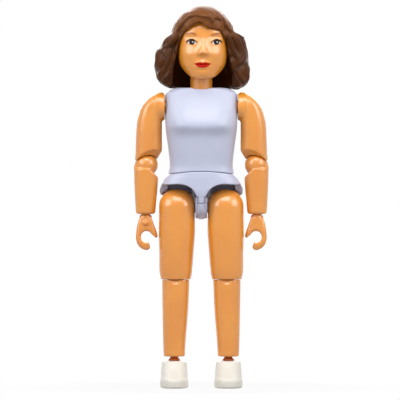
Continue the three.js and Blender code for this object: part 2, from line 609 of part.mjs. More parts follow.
// Torso, in the frame of the waist: a hollow shell with holes for the neck, the shoulders and the waist peg.
function torso() {
  const outside = torsoSections(0);
  outside[0].z = -GAP;
  const shell = loft(outside, BODY_SIDES, mouldBust);
  const floor = waistDome(0) + TORSO_WALL;
  const ceiling = torsoHeight - TORSO_WALL;
  const inside = torsoSections(TORSO_WALL);
  inside[0].z = floor;
  inside[inside.length - 1].z = ceiling;
  const rounded = inside.filter((s) => s.z >= floor && s.z <= ceiling);
  const hollow = loft(rounded);
  const waistHole = rod(WAIST_PEG + PIN_PLAY, -FAR, floor + 1);
  const neckHole = rod(NECK_RADIUS + PIN_PLAY, ceiling - 1, torsoHeight + 1, LIMB_SIDES);
  const neckSeat = rod(NECK_FLANGE + PIN_PLAY, ceiling - FLANGE_HEIGHT - GAP - 1, ceiling, LIMB_SIDES);
  const inWall = CHEST_HALF - TORSO_WALL;
  const shoulderSeat = rodAlongX(SHOULDER_FLANGE + GAP, -inWall, inWall);
  const shoulderHole = rodAlongX(SHOULDER_PEG + PIN_PLAY, -FAR, FAR);
  const shoulders = join(shoulderSeat, shoulderHole).translate(0, 0, WAIST_TO_SHOULDER);
  return cut(shell, hollow, waistCutter(-1), waistHole, neckHole, neckSeat, shoulders);
}

// Neck post, in the head's frame at the neckline: a flange under the shoulders, the neck and a pivot.
function neckPost() {
  const under = -TORSO_WALL - PIN_PLAY;
  const neckTop = NECK_SHOWN + NECK_IN_HEAD;
  const pivotTop = neckTop + NECK_PIVOT_LENGTH;
  return turned([
    [0, under - FLANGE_HEIGHT], [NECK_FLANGE, under - FLANGE_HEIGHT], [NECK_FLANGE, under],
    [NECK_RADIUS, under], [NECK_RADIUS, neckTop], [NECK_PIVOT, neckTop],
    [NECK_PIVOT, pivotTop - PIVOT_EDGE], [NECK_PIVOT - PIVOT_EDGE, pivotTop], [0, pivotTop],
  ], LIMB_SIDES);
}

// The head's key sections, grown by an allowance all round.
function headSections(grow) {
  const chin = NECK_SHOWN;
  const h = FACE_HEIGHT;
  const levels = [
    [0, 0.2, 0.86, -0.66], [0.03, 0.44, 0.92, -0.3], [0.075, 0.6, 0.96, 0.25], [0.13, 0.74, 0.985, 0.6],
    [0.22, 0.91, 1, 0.8], [0.36, 0.985, 1, 0.92], [0.54, 1, 0.99, 1], [0.72, 0.985, 0.95, 1.01],
    [0.87, 0.84, 0.8, 0.9], [0.96, 0.58, 0.56, 0.66], [1, 0.2, 0.2, 0.3],
  ];
  return levels.map(([share, half, front, back], i) => {
    const reach = FACE_FRONT * front;
    const rear = HEAD_BACK * back;
    const end = i === 0 ? -grow : i === levels.length - 1 ? grow : 0;
    return {
      z: chin + share * h + end, x: FACE_ASIDE, y: (rear - reach) / 2,
      half: FACE_HALF * half + grow, front: (reach + rear) / 2 + grow, power: 2.2,
    };
  });
}

// Nose, eye hollows and lips, raised from or sunk into the front of the head.
function mouldFace(point) {
  if (point.y >= 0) return;
  const up = (point.z - NECK_SHOWN) / FACE_HEIGHT;
  const x = (point.x - FACE_ASIDE) / FACE_HALF;
  const bump = (amount, acrossAt, across, at, spread) =>
    amount * Math.exp(-(((Math.abs(x) - acrossAt) / across) ** 2) - ((up - at) / spread) ** 2);
  point.y -= bump(NOSE_SWELL, 0, 0.16, 0.37, 0.06) + bump(0.5 * NOSE_SWELL, 0, 0.13, 0.47, 0.08);
  point.y -= bump(0.3 * NOSE_SWELL, 0, 0.25, 0.22, 0.035);
  point.y += bump(0.35 * NOSE_SWELL, 0.42, 0.2, 0.55, 0.05);
}

function head() {
  const skull = loft(headSections(0), BODY_SIDES, mouldFace);
  const neckTop = NECK_SHOWN + NECK_IN_HEAD;
  const socket = turned([
    [0, -1], [NECK_RADIUS + GAP, -1], [NECK_RADIUS + GAP, neckTop + GAP],
    [NECK_PIVOT + PIN_PLAY, neckTop + GAP], [NECK_PIVOT + PIN_PLAY, neckTop + NECK_PIVOT_LENGTH + GAP],
    [0, neckTop + NECK_PIVOT_LENGTH + GAP],
  ], LIMB_SIDES);
  return cut(skull, socket);
}

// Soft waves round the hair, stronger towards the curled ends.
function waveHair(point) {
  const low = THREE.MathUtils.clamp(1 - (point.z - HAIR_ABOVE_NECKLINE) / hairHeight, 0, 1);
  const angle = Math.atan2(point.x, point.y);
  const wave = Math.sin(HAIR_WAVES * Math.abs(angle) + HAIR_WAVE_TWIST * point.z);
  const swell = 1 + HAIR_WAVE_SWELL * low * wave;
  point.x *= swell;
  point.y *= swell;
}

const hairHeight = NECK_SHOWN + FACE_HEIGHT + HAIR_CROWN - HAIR_ABOVE_NECKLINE;

// Hair, in the head's frame: a smooth crown above two tiers of curls, open round the face.
function hair() {
  const bottom = HAIR_ABOVE_NECKLINE;
  const levels = [
    [0, 0.66, 0.76, 0.32, 0.72], [0.02, 0.79, 0.87, 0.45, 0.84], [0.05, 0.86, 0.94, 0.53, 0.91],
    [0.127, 0.95, 0.99, 0.61, 0.97], [0.243, 0.98, 1, 0.65, 0.99], [0.36, 0.97, 0.985, 0.68, 0.99],
    [0.445, 0.925, 0.955, 0.7, 0.98], [0.488, 0.85, 0.935, 0.72, 0.98], [0.54, 0.82, 0.92, 0.76, 0.97],
    [0.587, 0.775, 0.89, 0.81, 0.96], [0.628, 0.7, 0.83, 0.86, 0.95], [0.654, 0.65, 0.725, 0.9, 0.945],
    [0.69, 0.627, 0.7, 0.945, 0.93], [0.763, 0.575, 0.65, 0.985, 0.9], [0.845, 0.48, 0.545, 1, 0.815],
    [0.897, 0.4, 0.47, 0.91, 0.735], [0.935, 0.285, 0.395, 0.765, 0.63], [0.97, 0.195, 0.305, 0.56, 0.49],
    [0.99, 0.08, 0.21, 0.34, 0.31], [1, 0.03, 0.11, 0.16, 0.14],
  ];
  const mass = loft(levels.map(([share, other, half, front, back]) => ({
    z: bottom + share * hairHeight, half: HAIR_HALF * half, other: HAIR_HALF * other,
    front: HAIR_FRONT * front, back: HAIR_BACK * back, power: 2.2,
  })), HAIR_SIDES, waveHair);
  // Edge of the hair round the face, in shares of the face's half width and of the hairline's height.
  const edge = [
    [-1.1, -0.4], [-1.13, 0.08], [-1.11, 0.22], [-0.985, 0.39], [-0.9, 0.516], [-0.8, 0.694], [-0.62, 0.83],
    [-0.09, 1], [0.096, 0.94], [0.27, 0.9], [0.507, 0.88], [0.685, 0.87], [0.8, 0.82], [0.915, 0.694],
    [1, 0.557], [1.065, 0.427], [1.12, 0.255], [1.24, 0.09], [1.27, -0.4],
  ].map(([across, up]) => new THREE.Vector2(across * FACE_HALF, NECK_SHOWN + up * HAIRLINE_PEAK));
  const opening = new THREE.Shape();
  opening.moveTo(edge[0].x, edge[0].y);
  opening.splineThru(edge.slice(1));
  const window = prismAlongY(opening, -FAR, -1, { curveSegments: 2 });
  const hollow = { half: 1.2 * FACE_HALF, other: 1.1 * FACE_HALF, front: FACE_FRONT, back: 0.85 * HEAD_BACK };
  const nape = loft([
    { ...hollow, z: -1 }, { ...hollow, z: NECK_SHOWN + 0.05 * FACE_HEIGHT },
    { ...hollow, z: NECK_SHOWN + 0.25 * FACE_HEIGHT, half: FACE_HALF, other: FACE_HALF },
    { z: NECK_SHOWN + 0.4 * FACE_HEIGHT, half: 0.7 * FACE_HALF, front: 0.5 * FACE_FRONT },
  ], WIDE_SIDES);
  return cut(mass, window, nape, loft(headSections(GAP), BODY_SIDES));
}

// Turns a piece of the elbow from folding straight forward to its own fold.
const toElbow = (geometry) => geometry.rotateZ(-ELBOW_INWARD * RADIAN);

// Point at an angle from the crook of the elbow, over the top, in (y, z).
const aroundElbow = (degrees, radius) =>
  [-radius * Math.cos(degrees * RADIAN), radius * Math.sin(degrees * RADIAN)];

// Upper arm, in the shoulder's frame: boss and peg, a swelling arm, a cup for the ball and its tongue.
function upperArm() {
  const elbow = -UPPER_ARM_LENGTH;
  const boss = SHOULDER_BOSS;
  const inner = BOSS_HEIGHT;
  // Levels with the arm's half width and depth; its inner side stays upright beside the body.
  const levels = [
    [0.79 * elbow, 1.01, UPPER_ARM_DEPTH], [0.445 * elbow, 0.985, UPPER_ARM_DEPTH],
    [0.28 * elbow, 0.955, UPPER_ARM_DEPTH], [0.133 * elbow, 0.885, boss], [0, 0.775, boss],
    [0.42 * boss, 0.62, 0.91 * boss], [0.82 * boss, 0.41, 0.57 * boss], [1.04 * boss, 0.19, 0.18 * boss],
  ].map(([z, share, front]) => {
    const half = share * UPPER_ARM_HALF;
    return { z, x: inner + half, half, front };
  });
  const arm = loft([
    { z: elbow + ELBOW_RIM, x: ELBOW_OUT - ARM_RIM_IN, half: 0.98 * UPPER_ARM_HALF,
      front: 0.97 * UPPER_ARM_DEPTH },
    ...levels,
  ]);
  const pegEnd = -ARM_CLEAR - TORSO_WALL - GAP;
  const pivot = turnedAlongX([
    [0, pegEnd - FLANGE_HEIGHT], [SHOULDER_FLANGE, pegEnd - FLANGE_HEIGHT], [SHOULDER_FLANGE, pegEnd],
    [SHOULDER_PEG, pegEnd], [SHOULDER_PEG, 0], [boss, 0], [boss, 1.7 * inner], [0, 1.7 * inner],
  ]);
  const cup = ball(ELBOW_BALL + GAP);
  const slant = ELBOW_SLANT * RADIAN;
  const bevel = prismAlongX(polygon([
    [0, 0], [-FAR * Math.cos(slant), FAR * Math.sin(slant)], [-FAR, -FAR], [0, -FAR],
  ]), -FAR, FAR).rotateZ(-CROOK_INWARD * RADIAN);
  const webEnd = ELBOW_BALL + GAP + ELBOW_WEB_ROOT;
  const [alongY, alongZ] = aroundElbow(ELBOW_WEB_ANGLE, 1);
  const strip = (side, radius) =>
    [radius * alongY - side * ELBOW_WEB * alongZ, radius * alongZ + side * ELBOW_WEB * alongY];
  const webShape = polygon([strip(1, 0), strip(-1, 0), strip(-1, webEnd), strip(1, webEnd)]);
  const tongueHalf = ELBOW_TONGUE / 2;
  const tongue = join(
    toElbow(rodAlongX(ELBOW_DISC, -tongueHalf, tongueHalf)),
    toElbow(prismAlongX(webShape, -tongueHalf, tongueHalf)));
  const pinHole = toElbow(rodAlongX(ELBOW_PIN + PIN_PLAY, -tongueHalf - 1, tongueHalf + 1));
  const place = (geometry) => geometry.translate(ELBOW_OUT, 0, elbow);
  const corner = block(-FAR, FAR, -FAR, FAR, -FAR, 0).rotateY(CROOK_CORNER * RADIAN)
    .translate(-CROOK_CORNER_IN, 0, 0);
  const sleeve = cut(join(arm, pivot), place(cup), place(bevel), place(corner));
  return cut(join(sleeve, tongue.translate(ELBOW_OUT, 0, elbow)), place(pinHole));
}

const elbowPinInner = PIN_RECESS - ELBOW_BALL;
const elbowPinOuter = ELBOW_BALL - ELBOW_SKIN;
const elbowPin = () => toElbow(rodAlongX(ELBOW_PIN, elbowPinInner, elbowPinOuter));

// Forearm, in the elbow's frame: a slotted ball on a tapering arm with a slanted top and a wrist socket.
function forearm() {
  const bottom = -FOREARM_LENGTH;
  const arm = loft([
    { z: bottom, x: WRIST_OUT, half: WRIST_HALF - 0.55 * WRIST_EDGE,
      front: WRIST_DEPTH - 0.55 * WRIST_EDGE },
    { z: bottom + 0.3 * WRIST_EDGE, x: WRIST_OUT, half: WRIST_HALF - 0.2 * WRIST_EDGE,
      front: WRIST_DEPTH - 0.2 * WRIST_EDGE },
    { z: bottom + WRIST_EDGE, x: WRIST_OUT, half: WRIST_HALF, front: WRIST_DEPTH },
    { z: 0.35 * bottom, x: 0.35 * WRIST_OUT, half: 0.75 * FOREARM_HALF + 0.25 * WRIST_HALF,
      front: 0.75 * FOREARM_DEPTH + 0.25 * WRIST_DEPTH },
    { z: ELBOW_RIM, x: 0, half: FOREARM_HALF, front: FOREARM_DEPTH },
  ]);
  const slanted = block(-FAR, FAR, -FAR, FAR, 0, FAR)
    .rotateX(-FOREARM_TOP_PITCH * RADIAN).rotateY(-FOREARM_TOP_SLOPE * RADIAN)
    .translate(0, 0, -FOREARM_TOP_DROP);
  const rim = block(-FAR, FAR, -FAR, FAR, 0, FAR)
    .rotateX(FOREARM_RIM_PITCH * RADIAN).translate(0, 0, -FOREARM_RIM_DROP);
  const slotHalf = ELBOW_TONGUE / 2 + GAP;
  const webSpread = Math.asin(ELBOW_WEB / (ELBOW_DISC + GAP)) / RADIAN + 4;
  const sector = new THREE.Shape();
  const from = ELBOW_WEB_ANGLE - ELBOW_FOLD - webSpread;
  const to = ELBOW_WEB_ANGLE + webSpread;
  sector.moveTo(0, 0);
  for (let i = 0; i <= 6; i += 1) {
    const [y, z] = aroundElbow(from + ((to - from) * i) / 6, 2 * ELBOW_BALL);
    sector.lineTo(y, z);
  }
  const slot = join(
    toElbow(rodAlongX(ELBOW_DISC + GAP, -slotHalf, slotHalf)),
    toElbow(prismAlongX(sector, -slotHalf, slotHalf)));
  const pinHole = toElbow(rodAlongX(ELBOW_PIN + PIN_PLAY, -FAR, elbowPinOuter + PIN_PLAY));
  const socket = rod(WRIST_PEG + PIN_PLAY, bottom - 1, bottom + WRIST_PEG_LENGTH + GAP);
  const top = cut(arm, slanted, rim);
  return cut(join(top, ball(ELBOW_BALL)), slot, pinHole, socket.translate(WRIST_OUT, 0, 0));
}

// Hand, in the wrist's frame: fingers and thumb curl into an open ring that grips a bar. Both hands are the
// same moulding, turned half round for the right side.
function hand(halfRound) {
  // A point in (x, z) at an angle round the grip, outside it by a share of the finger's thickness.
  const around = ([degrees, share]) => new THREE.Vector2(
    -GRIP_IN + (GRIP_RADIUS + share * FINGER) * Math.cos(degrees * RADIAN),
    -GRIP_DROP + (GRIP_RADIUS + share * FINGER) * Math.sin(degrees * RADIAN));
  const wrist = 0.95 * WRIST_NECK;
  const outline = new THREE.Shape();
  outline.moveTo(wrist, -HAND_TOP);
  outline.splineThru([
    [57, 1.67], [30, 0.97], [-10, 0.82], [-43, 0.98], [-66, 1.12], [-88, 1.25], [-102, 1.1],
    [-110, 0.73], [GRIP_FROM, 0],
  ].map(around));
  outline.absarc(-GRIP_IN, -GRIP_DROP, GRIP_RADIUS, GRIP_FROM * RADIAN, GRIP_TO * RADIAN, false);
  const thumb = [[176, 0.3], [186, 0.61], [181, 0.84], [170, 0.88], [146, 0.95], [122, 1.37]].map(around);
  outline.splineThru([...thumb, new THREE.Vector2(-wrist, -HAND_TOP)]);
  const half = HAND_THICKNESS / 2;
  const plate = prismAlongY(outline, -half, half, { curveSegments: 2 });
  const rounded = { x: HAND_MIDDLE, half: HAND_HALF, front: half, power: 3 };
  const loaf = loft([
    { ...rounded, z: -HAND_LENGTH, front: 0.7 * half },
    { ...rounded, z: -GRIP_DROP },
    { ...rounded, z: 0, front: 0.85 * half },
  ], WIDE_SIDES);
  const palm = common(plate, loaf);
  const neck = turned([
    [0, -HAND_NECK_DEPTH], [WRIST_NECK, -HAND_NECK_DEPTH], [WRIST_NECK, -GAP], [WRIST_PEG, -GAP],
    [WRIST_PEG, WRIST_PEG_LENGTH], [0, WRIST_PEG_LENGTH],
  ]);
  const knuckle = ball(KNUCKLE_RADIUS, 0, half - KNUCKLE_SINK, -KNUCKLE_DROP, ROUND_SIDES);
  const whole = join(palm, neck, knuckle);
  return halfRound ? whole.rotate([0, 0, 180]) : whole;
}

const figure = new THREE.Group();
const pelvisGroup = addGroup(figure, 0, 0, hipZ);
const wholePelvis = pelvis();
addPiece(pelvisGroup, 'pelvis_front', pelvisFront(wholePelvis), lavender);
addPiece(pelvisGroup, 'pelvis_back', pelvisBack(wholePelvis), lavender);
addPiece(pelvisGroup, 'hip_axle', hipAxle(), pinGrey);

const torsoGroup = addGroup(pelvisGroup, 0, 0, HIP_TO_WAIST);
const wholeTorso = torso();
addPiece(torsoGroup, 'waist_peg', waistPeg(0), pinGrey);
const frontHalf = block(-FAR, FAR, -FAR, -SEAM / 2, -FAR, FAR);
const backHalf = block(-FAR, FAR, SEAM / 2, FAR, -FAR, FAR);
addPiece(torsoGroup, 'torso_front', common(wholeTorso, frontHalf), lavender);
addPiece(torsoGroup, 'torso_back', common(wholeTorso, backHalf), lavender);

const headGroup = addGroup(torsoGroup, 0, 0, torsoHeight);
addPiece(headGroup, 'neck_post', neckPost(), flesh);
addPiece(headGroup, 'head', head(), flesh);
addPiece(headGroup, 'hair', hair(), hairBrown);

for (const [side, sign] of [['left', 1], ['right', -1]]) {
  const mirror = sign < 0;
  const arm = addGroup(torsoGroup, sign * shoulderOut, 0, WAIST_TO_SHOULDER);
  addPiece(arm, `upper_arm_${side}`, upperArm(), flesh, mirror);
  const elbow = addGroup(arm, sign * ELBOW_OUT, 0, -UPPER_ARM_LENGTH);
  addPiece(elbow, `elbow_pin_${side}`, elbowPin(), pinGrey, mirror);
  addPiece(elbow, `forearm_${side}`, forearm(), flesh, mirror);
  const wrist = addGroup(elbow, sign * WRIST_OUT, 0, -FOREARM_LENGTH);
  addPiece(wrist, `hand_${side}`, hand(mirror), flesh);

  const hip = addGroup(pelvisGroup, sign * HIP_OUT, 0, 0);
  addPiece(hip, `thigh_${side}`, thigh(), flesh, mirror);
  const knee = addGroup(hip, sign * KNEE_OUT, 0, -THIGH_LENGTH);
  addPiece(knee, `knee_pin_${side}`, kneePin(), pinGrey, mirror);
  addPiece(knee, `shin_${side}`, shin(), flesh, mirror);
  const ankle = addGroup(knee, sign * ANKLE_OUT, 0, ankleZ - kneeZ);
  addPiece(ankle, `ankle_post_${side}`, anklePost(), flesh, mirror);
  addPiece(ankle, `shoe_${side}`, shoe(), shoeWhite, mirror);
}

export default figure;
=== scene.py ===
"""A jointed toy figure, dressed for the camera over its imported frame.

Lengths are millimetres unless a name says otherwise, in the frame's own axes: the figure faces -Y, its own
left is +X and the floor is at zero. A moulded piece is a Form, a solid that knows how far any point lies
from its skin, so shells, sockets and rounded edges are joined and cut as plain expressions and skinned as
one mesh.
"""

from __future__ import annotations

import json
import logging
import math
from dataclasses import dataclass, field
from enum import Enum
from functools import reduce
from typing import Any, Callable, Sequence

import bpy
import numpy as np
import openvdb
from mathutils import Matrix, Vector

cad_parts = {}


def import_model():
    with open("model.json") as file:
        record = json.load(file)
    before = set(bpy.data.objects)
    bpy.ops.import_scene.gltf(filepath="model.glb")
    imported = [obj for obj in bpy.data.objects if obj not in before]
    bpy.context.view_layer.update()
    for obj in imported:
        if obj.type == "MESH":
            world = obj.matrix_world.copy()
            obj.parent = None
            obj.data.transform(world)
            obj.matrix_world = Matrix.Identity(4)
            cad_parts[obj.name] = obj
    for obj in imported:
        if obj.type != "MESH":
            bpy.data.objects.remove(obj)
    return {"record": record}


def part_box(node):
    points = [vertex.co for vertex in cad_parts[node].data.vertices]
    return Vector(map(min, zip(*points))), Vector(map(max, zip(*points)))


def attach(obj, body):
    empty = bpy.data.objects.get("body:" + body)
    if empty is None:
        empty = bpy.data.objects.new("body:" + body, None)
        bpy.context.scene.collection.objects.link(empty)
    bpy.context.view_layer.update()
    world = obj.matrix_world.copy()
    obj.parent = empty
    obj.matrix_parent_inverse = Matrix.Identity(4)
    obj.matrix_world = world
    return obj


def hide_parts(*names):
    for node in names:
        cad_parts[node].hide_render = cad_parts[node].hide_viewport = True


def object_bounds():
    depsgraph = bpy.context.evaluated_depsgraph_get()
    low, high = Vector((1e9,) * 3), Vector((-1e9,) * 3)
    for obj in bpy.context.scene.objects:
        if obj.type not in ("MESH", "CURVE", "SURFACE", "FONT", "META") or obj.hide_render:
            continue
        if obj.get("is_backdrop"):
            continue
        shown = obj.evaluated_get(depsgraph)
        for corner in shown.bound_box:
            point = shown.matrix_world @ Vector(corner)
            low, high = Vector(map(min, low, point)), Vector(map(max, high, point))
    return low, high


LOG = logging.getLogger("figure")
MM = 0.001
FAR = 40.0  # past the end of any piece that is cut through
EDGE = 0.22  # rounding that the mould leaves where two surfaces meet
CRISP = 0.1  # rounding of a crisp edge
SHARP = 0.0  # no rounding
MARGIN = 1.2  # room round a node's box in which its piece is skinned
SKIN = 3  # faces on either side of a skin within which distances are kept

Array = np.ndarray
Distance = Callable[[Array, Array, Array], Array]
Point = tuple[float, float, float]
Flat = tuple[float, float]
Colour = tuple[float, float, float, float]
Sockets = dict[str | int, Any]


class Slot(Enum):
    """Material slots of the record."""

    FLESH = "flesh"
    LAVENDER = "lavender"
    HAIR = "hair"
    SHOE = "shoe"
    PIN = "pin"


class Axis(Enum):
    """Direction that a flat outline is carried along."""

    X = 0
    Y = 1


class Other(Enum):
    """How the right side's piece comes from the left one's, as factors of x and y."""

    MIRROR = (-1.0, 1.0)
    HALF_TURN = (-1.0, -1.0)


def soft_least(a: Array, b: Array, blend: float) -> Array:
    """Smaller of two fields, rounded where they meet.

    Args:
        a: First field.
        b: Second field.
        blend: Width of the rounding.

    Returns:
        The joined field.
    """
    least = np.minimum(a, b)
    if blend <= 0:
        return least
    near = np.maximum(blend - np.abs(a - b), 0) / blend
    return least - near * near * blend / 4


def soft_most(a: Array, b: Array, blend: float) -> Array:
    """Larger of two fields, rounded where they meet."""
    return -soft_least(-a, -b, blend)


def smooth_step(values: Array, start: float, end: float) -> Array:
    """Ramp with soft ends, from 0 at the start to 1 at the end."""
    share = np.clip((values - start) / (end - start), 0, 1)
    return share * share * (3 - 2 * share)


def key_curve(at: Array, values: Array, query: Array) -> Array:
    """Smooth curve through key values that never overshoots them.

    Args:
        at: Rising positions of the keys.
        values: Value at each key.
        query: Positions to read.

    Returns:
        The curve's value at each position.
    """
    slope = np.diff(values) / np.diff(at)
    before, after = slope[:-1], slope[1:]
    total = np.where(before + after == 0, 1, before + after)
    inner = np.where(before * after > 0, 2 * before * after / total, 0)
    tangent = np.concatenate([slope[:1], inner, slope[-1:]])
    i = np.clip(np.searchsorted(at, query, side="right") - 1, 0, len(at) - 2)
    span = at[i + 1] - at[i]
    t = np.clip((query - at[i]) / span, 0, 1)
    rise = values[i + 1] - values[i]
    start, end = tangent[i] * span, tangent[i + 1] * span
    return values[i] + t * (start + t * (3 * rise - 2 * start - end + t * (start + end - 2 * rise)))


def curve_through(points: Sequence[Sequence[float]], steps: int = 6, closed: bool = False) -> Array:
    """Rounded line through a few points.

    Args:
        points: Points of any dimension.
        steps: Pieces between two points.
        closed: Whether the line runs back to its first point.

    Returns:
        The points of the finer line.
    """
    keys = np.asarray(points, dtype=float)
    count = len(keys)
    line = []
    for i in range(count if closed else count - 1):
        around = range(i - 1, i + 3)
        a, b, c, d = (keys[j % count if closed else min(max(j, 0), count - 1)] for j in around)
        for t in np.arange(steps) / steps:
            line.append(b + 0.5 * t * (c - a + t * (2 * a - 5 * b + 4 * c - d + t * (3 * (b - c) + d - a))))
    return np.array(line if closed else [*line, keys[-1]])


def oval_distance(u: Array, v: Array, half: Array, reach: Array, power: Array) -> Array:
    """Distance of points from a squared oval.

    Args:
        u: Place across.
        v: Place along.
        half: Half width.
        reach: Half length.
        power: Squareness; 2 is an ellipse.

    Returns:
        Signed distance, below zero inside.
    """
    across, along = np.abs(u) / half, np.abs(v) / reach
    radius = np.maximum(across**power + along**power, 1e-9) ** (1 / power)
    steep = np.hypot(across ** (power - 1) / half, along ** (power - 1) / reach) * radius ** (1 - power)
    return (radius - 1) / np.maximum(steep, 0.9 / np.maximum(half, reach))


def outline_distance(u: Array, v: Array, loop: Array) -> Array:
    """Distance of points from a closed flat outline.

    Args:
        u: Place along the outline's first direction.
        v: Place along its second direction.
        loop: Corners in order.

    Returns:
        Signed distance, below zero inside.
    """
    u, v = np.broadcast_arrays(u, v)
    best = np.full(u.shape, np.inf)
    inside = np.zeros(u.shape, dtype=bool)
    for (au, av), (bu, bv) in zip(loop, np.roll(loop, -1, axis=0)):
        eu, ev = bu - au, bv - av
        t = np.clip(((u - au) * eu + (v - av) * ev) / max(eu * eu + ev * ev, 1e-12), 0, 1)
        best = np.minimum(best, (u - au - t * eu) ** 2 + (v - av - t * ev) ** 2)
        if av != bv:
            inside ^= ((av <= v) != (bv <= v)) & (u < au + (v - av) / ev * eu)
    return np.where(inside, -1, 1) * np.sqrt(best)


@dataclass(frozen=True)
class Form:
    """A solid, given by the signed distance of any point from its skin, below zero inside."""

    distance: Distance

    def join(self, other: Form, blend: float = EDGE) -> Form:
        """Both solids together, with a fillet of the given blend."""
        return Form(lambda *spot: soft_least(self.distance(*spot), other.distance(*spot), blend))

    def cut(self, other: Form, blend: float = EDGE) -> Form:
        """This solid without the other one, its new edges rounded."""
        return Form(lambda *spot: soft_most(self.distance(*spot), -other.distance(*spot), blend))

    def keep(self, other: Form, blend: float = EDGE) -> Form:
        """What the two solids share, its new edges rounded."""
        return Form(lambda *spot: soft_most(self.distance(*spot), other.distance(*spot), blend))

    # with the mould's usual rounding, | joins and - cuts
    __or__ = join
    __sub__ = cut

    def grown(self, amount: float) -> Form:
        """The solid with its skin moved out."""
        return Form(lambda *spot: self.distance(*spot) - amount)

    def raised(self, relief: Distance) -> Form:
        """The solid with its skin moved out by a relief that varies from place to place."""
        return Form(lambda *spot: self.distance(*spot) - relief(*spot))

    def drawn_forward(self, swell: Callable[[Array, Array], Array]) -> Form:
        """The solid with its front pulled towards -Y by a swell given over (x, z)."""
        return Form(lambda x, y, z: self.distance(x, y + swell(x, z) * np.clip(-y / 2, 0, 1), z))

    def on_both_sides(self) -> Form:
        """The solid together with its mirror image on the figure's other side."""
        return self.join(Form(lambda x, y, z: self.distance(-x, y, z)), SHARP)


@dataclass(frozen=True)
class Section:
    """Key section of a loft. What it leaves out is as in front, as on the other side or as the loft says.

    Attributes:
        z: Level.
        half: Half width.
        front: Reach towards -Y.
        back: Reach towards +Y.
        left: Half width towards -X.
        x: Middle, sideways.
        y: Middle, front to back.
        power: Squareness; 2 is an ellipse.
    """

    z: float
    half: float
    front: float
    back: float | None = None
    left: float | None = None
    x: float | None = None
    y: float = 0.0
    power: float | None = None

    def row(self, middle: float, power: float) -> tuple[float, ...]:
        """Its sizes, with what it leaves out filled in."""
        pairs = (self.left, self.half), (self.back, self.front), (self.x, middle), (self.power, power)
        return (self.half, self.front, self.y, *(other if own is None else own for own, other in pairs))


def loft(sections: Sequence[Section], edge: float = EDGE, middle: float = 0.0, power: float = 2.4) -> Form:
    """Skin over sections stacked along Z, closed flat at both ends.

    Args:
        sections: Key sections from the lowest up.
        edge: Rounding of the two end faces.
        middle: Middle, sideways, of sections that give none.
        power: Squareness of sections that give none.

    Returns:
        The solid.
    """
    level = np.array([section.z for section in sections])
    keys = np.array([section.row(middle, power) for section in sections]).T

    def distance(x: Array, y: Array, z: Array) -> Array:
        """Signed distance from the loft.

        Args:
            x: Places sideways.
            y: Places front to back.
            z: Places upwards.

        Returns:
            The distance of each place.
        """
        half, front, deep, left, back, across, square = (key_curve(level, key, z) for key in keys)
        u, v = x - across, y - deep
        side = oval_distance(u, v, np.where(u < 0, left, half), np.where(v < 0, front, back), square)
        return soft_most(side, np.maximum(level[0] - z, z - level[-1]), edge)

    return Form(distance)


def ball(centre: Point, radius: float, stretch: Point = (1.0, 1.0, 1.0)) -> Form:
    """A ball, or an egg where it is stretched along an axis."""
    sizes = list(zip(centre, stretch))
    return Form(lambda *spot: min(stretch) * (
        np.sqrt(sum(((p - c) / s) ** 2 for p, (c, s) in zip(spot, sizes))) - radius))


def half_space(point: Point, normal: Point) -> Form:
    """Everything behind the plane through a point, away from its normal."""
    n = np.array(normal) / np.linalg.norm(normal)
    return Form(lambda x, y, z: x * n[0] + y * n[1] + z * n[2] - float(n @ np.array(point)))


def rod(start: Point, end: Point, radius: float, edge: float = EDGE) -> Form:
    """A round bar with flat ends.

    Args:
        start: Middle of one end.
        end: Middle of the other end.
        radius: Radius.
        edge: Rounding of its ends.

    Returns:
        The solid.
    """
    a, b = np.array(start, dtype=float), np.array(end, dtype=float)
    length = float(np.linalg.norm(b - a))
    way = (b - a) / length

    def distance(x: Array, y: Array, z: Array) -> Array:
        """Signed distance from the bar.

        Args:
            x: Places sideways.
            y: Places front to back.
            z: Places upwards.

        Returns:
            The distance of each place.
        """
        u, v, w = x - a[0], y - a[1], z - a[2]
        along = u * way[0] + v * way[1] + w * way[2]
        out = np.sqrt(np.maximum(u * u + v * v + w * w - along * along, 0)) - radius
        return soft_most(out, np.maximum(-along, along - length), edge)

    return Form(distance)


def cross_bar(start: float, end: float, z: float, radius: float, edge: float = EDGE) -> Form:
    """A level bar from one x to another, in the middle of the figure's depth."""
    return rod((start, 0, z), (end, 0, z), radius, edge)


def upright(low: float, high: float, radius: float, x: float = 0.0) -> Form:
    """An upright bar from one level to another, in the middle of the figure's depth."""
    return rod((x, 0, low), (x, 0, high), radius)


def prism(axis: Axis, loop: Sequence[Sequence[float]], start: float, end: float, edge: float = EDGE) -> Form:
    """Flat outline carried along an axis.

    Args:
        axis: X for an outline in (y, z), Y for one in (x, z).
        loop: Corners of the outline.
        start: Lower end along the axis.
        end: Upper end along the axis.
        edge: Rounding of its ends.

    Returns:
        The solid.
    """
    corners = np.asarray(loop, dtype=float)

    def distance(x: Array, y: Array, z: Array) -> Array:
        """Signed distance from the prism."""
        along, across = (x, y) if axis is Axis.X else (y, x)
        return soft_most(outline_distance(across, z, corners), np.maximum(start - along, along - end), edge)

    return Form(distance)


def lathe(profile: Sequence[Flat], middle: float = 0.0) -> Form:
    """Solid of revolution of (radius, height) pairs, from the lowest up, about an upright axis."""
    loop = np.array([*profile, *[(-radius, z) for radius, z in reversed(profile)]])
    return Form(lambda x, y, z: outline_distance(np.hypot(x - middle, y), z, loop))


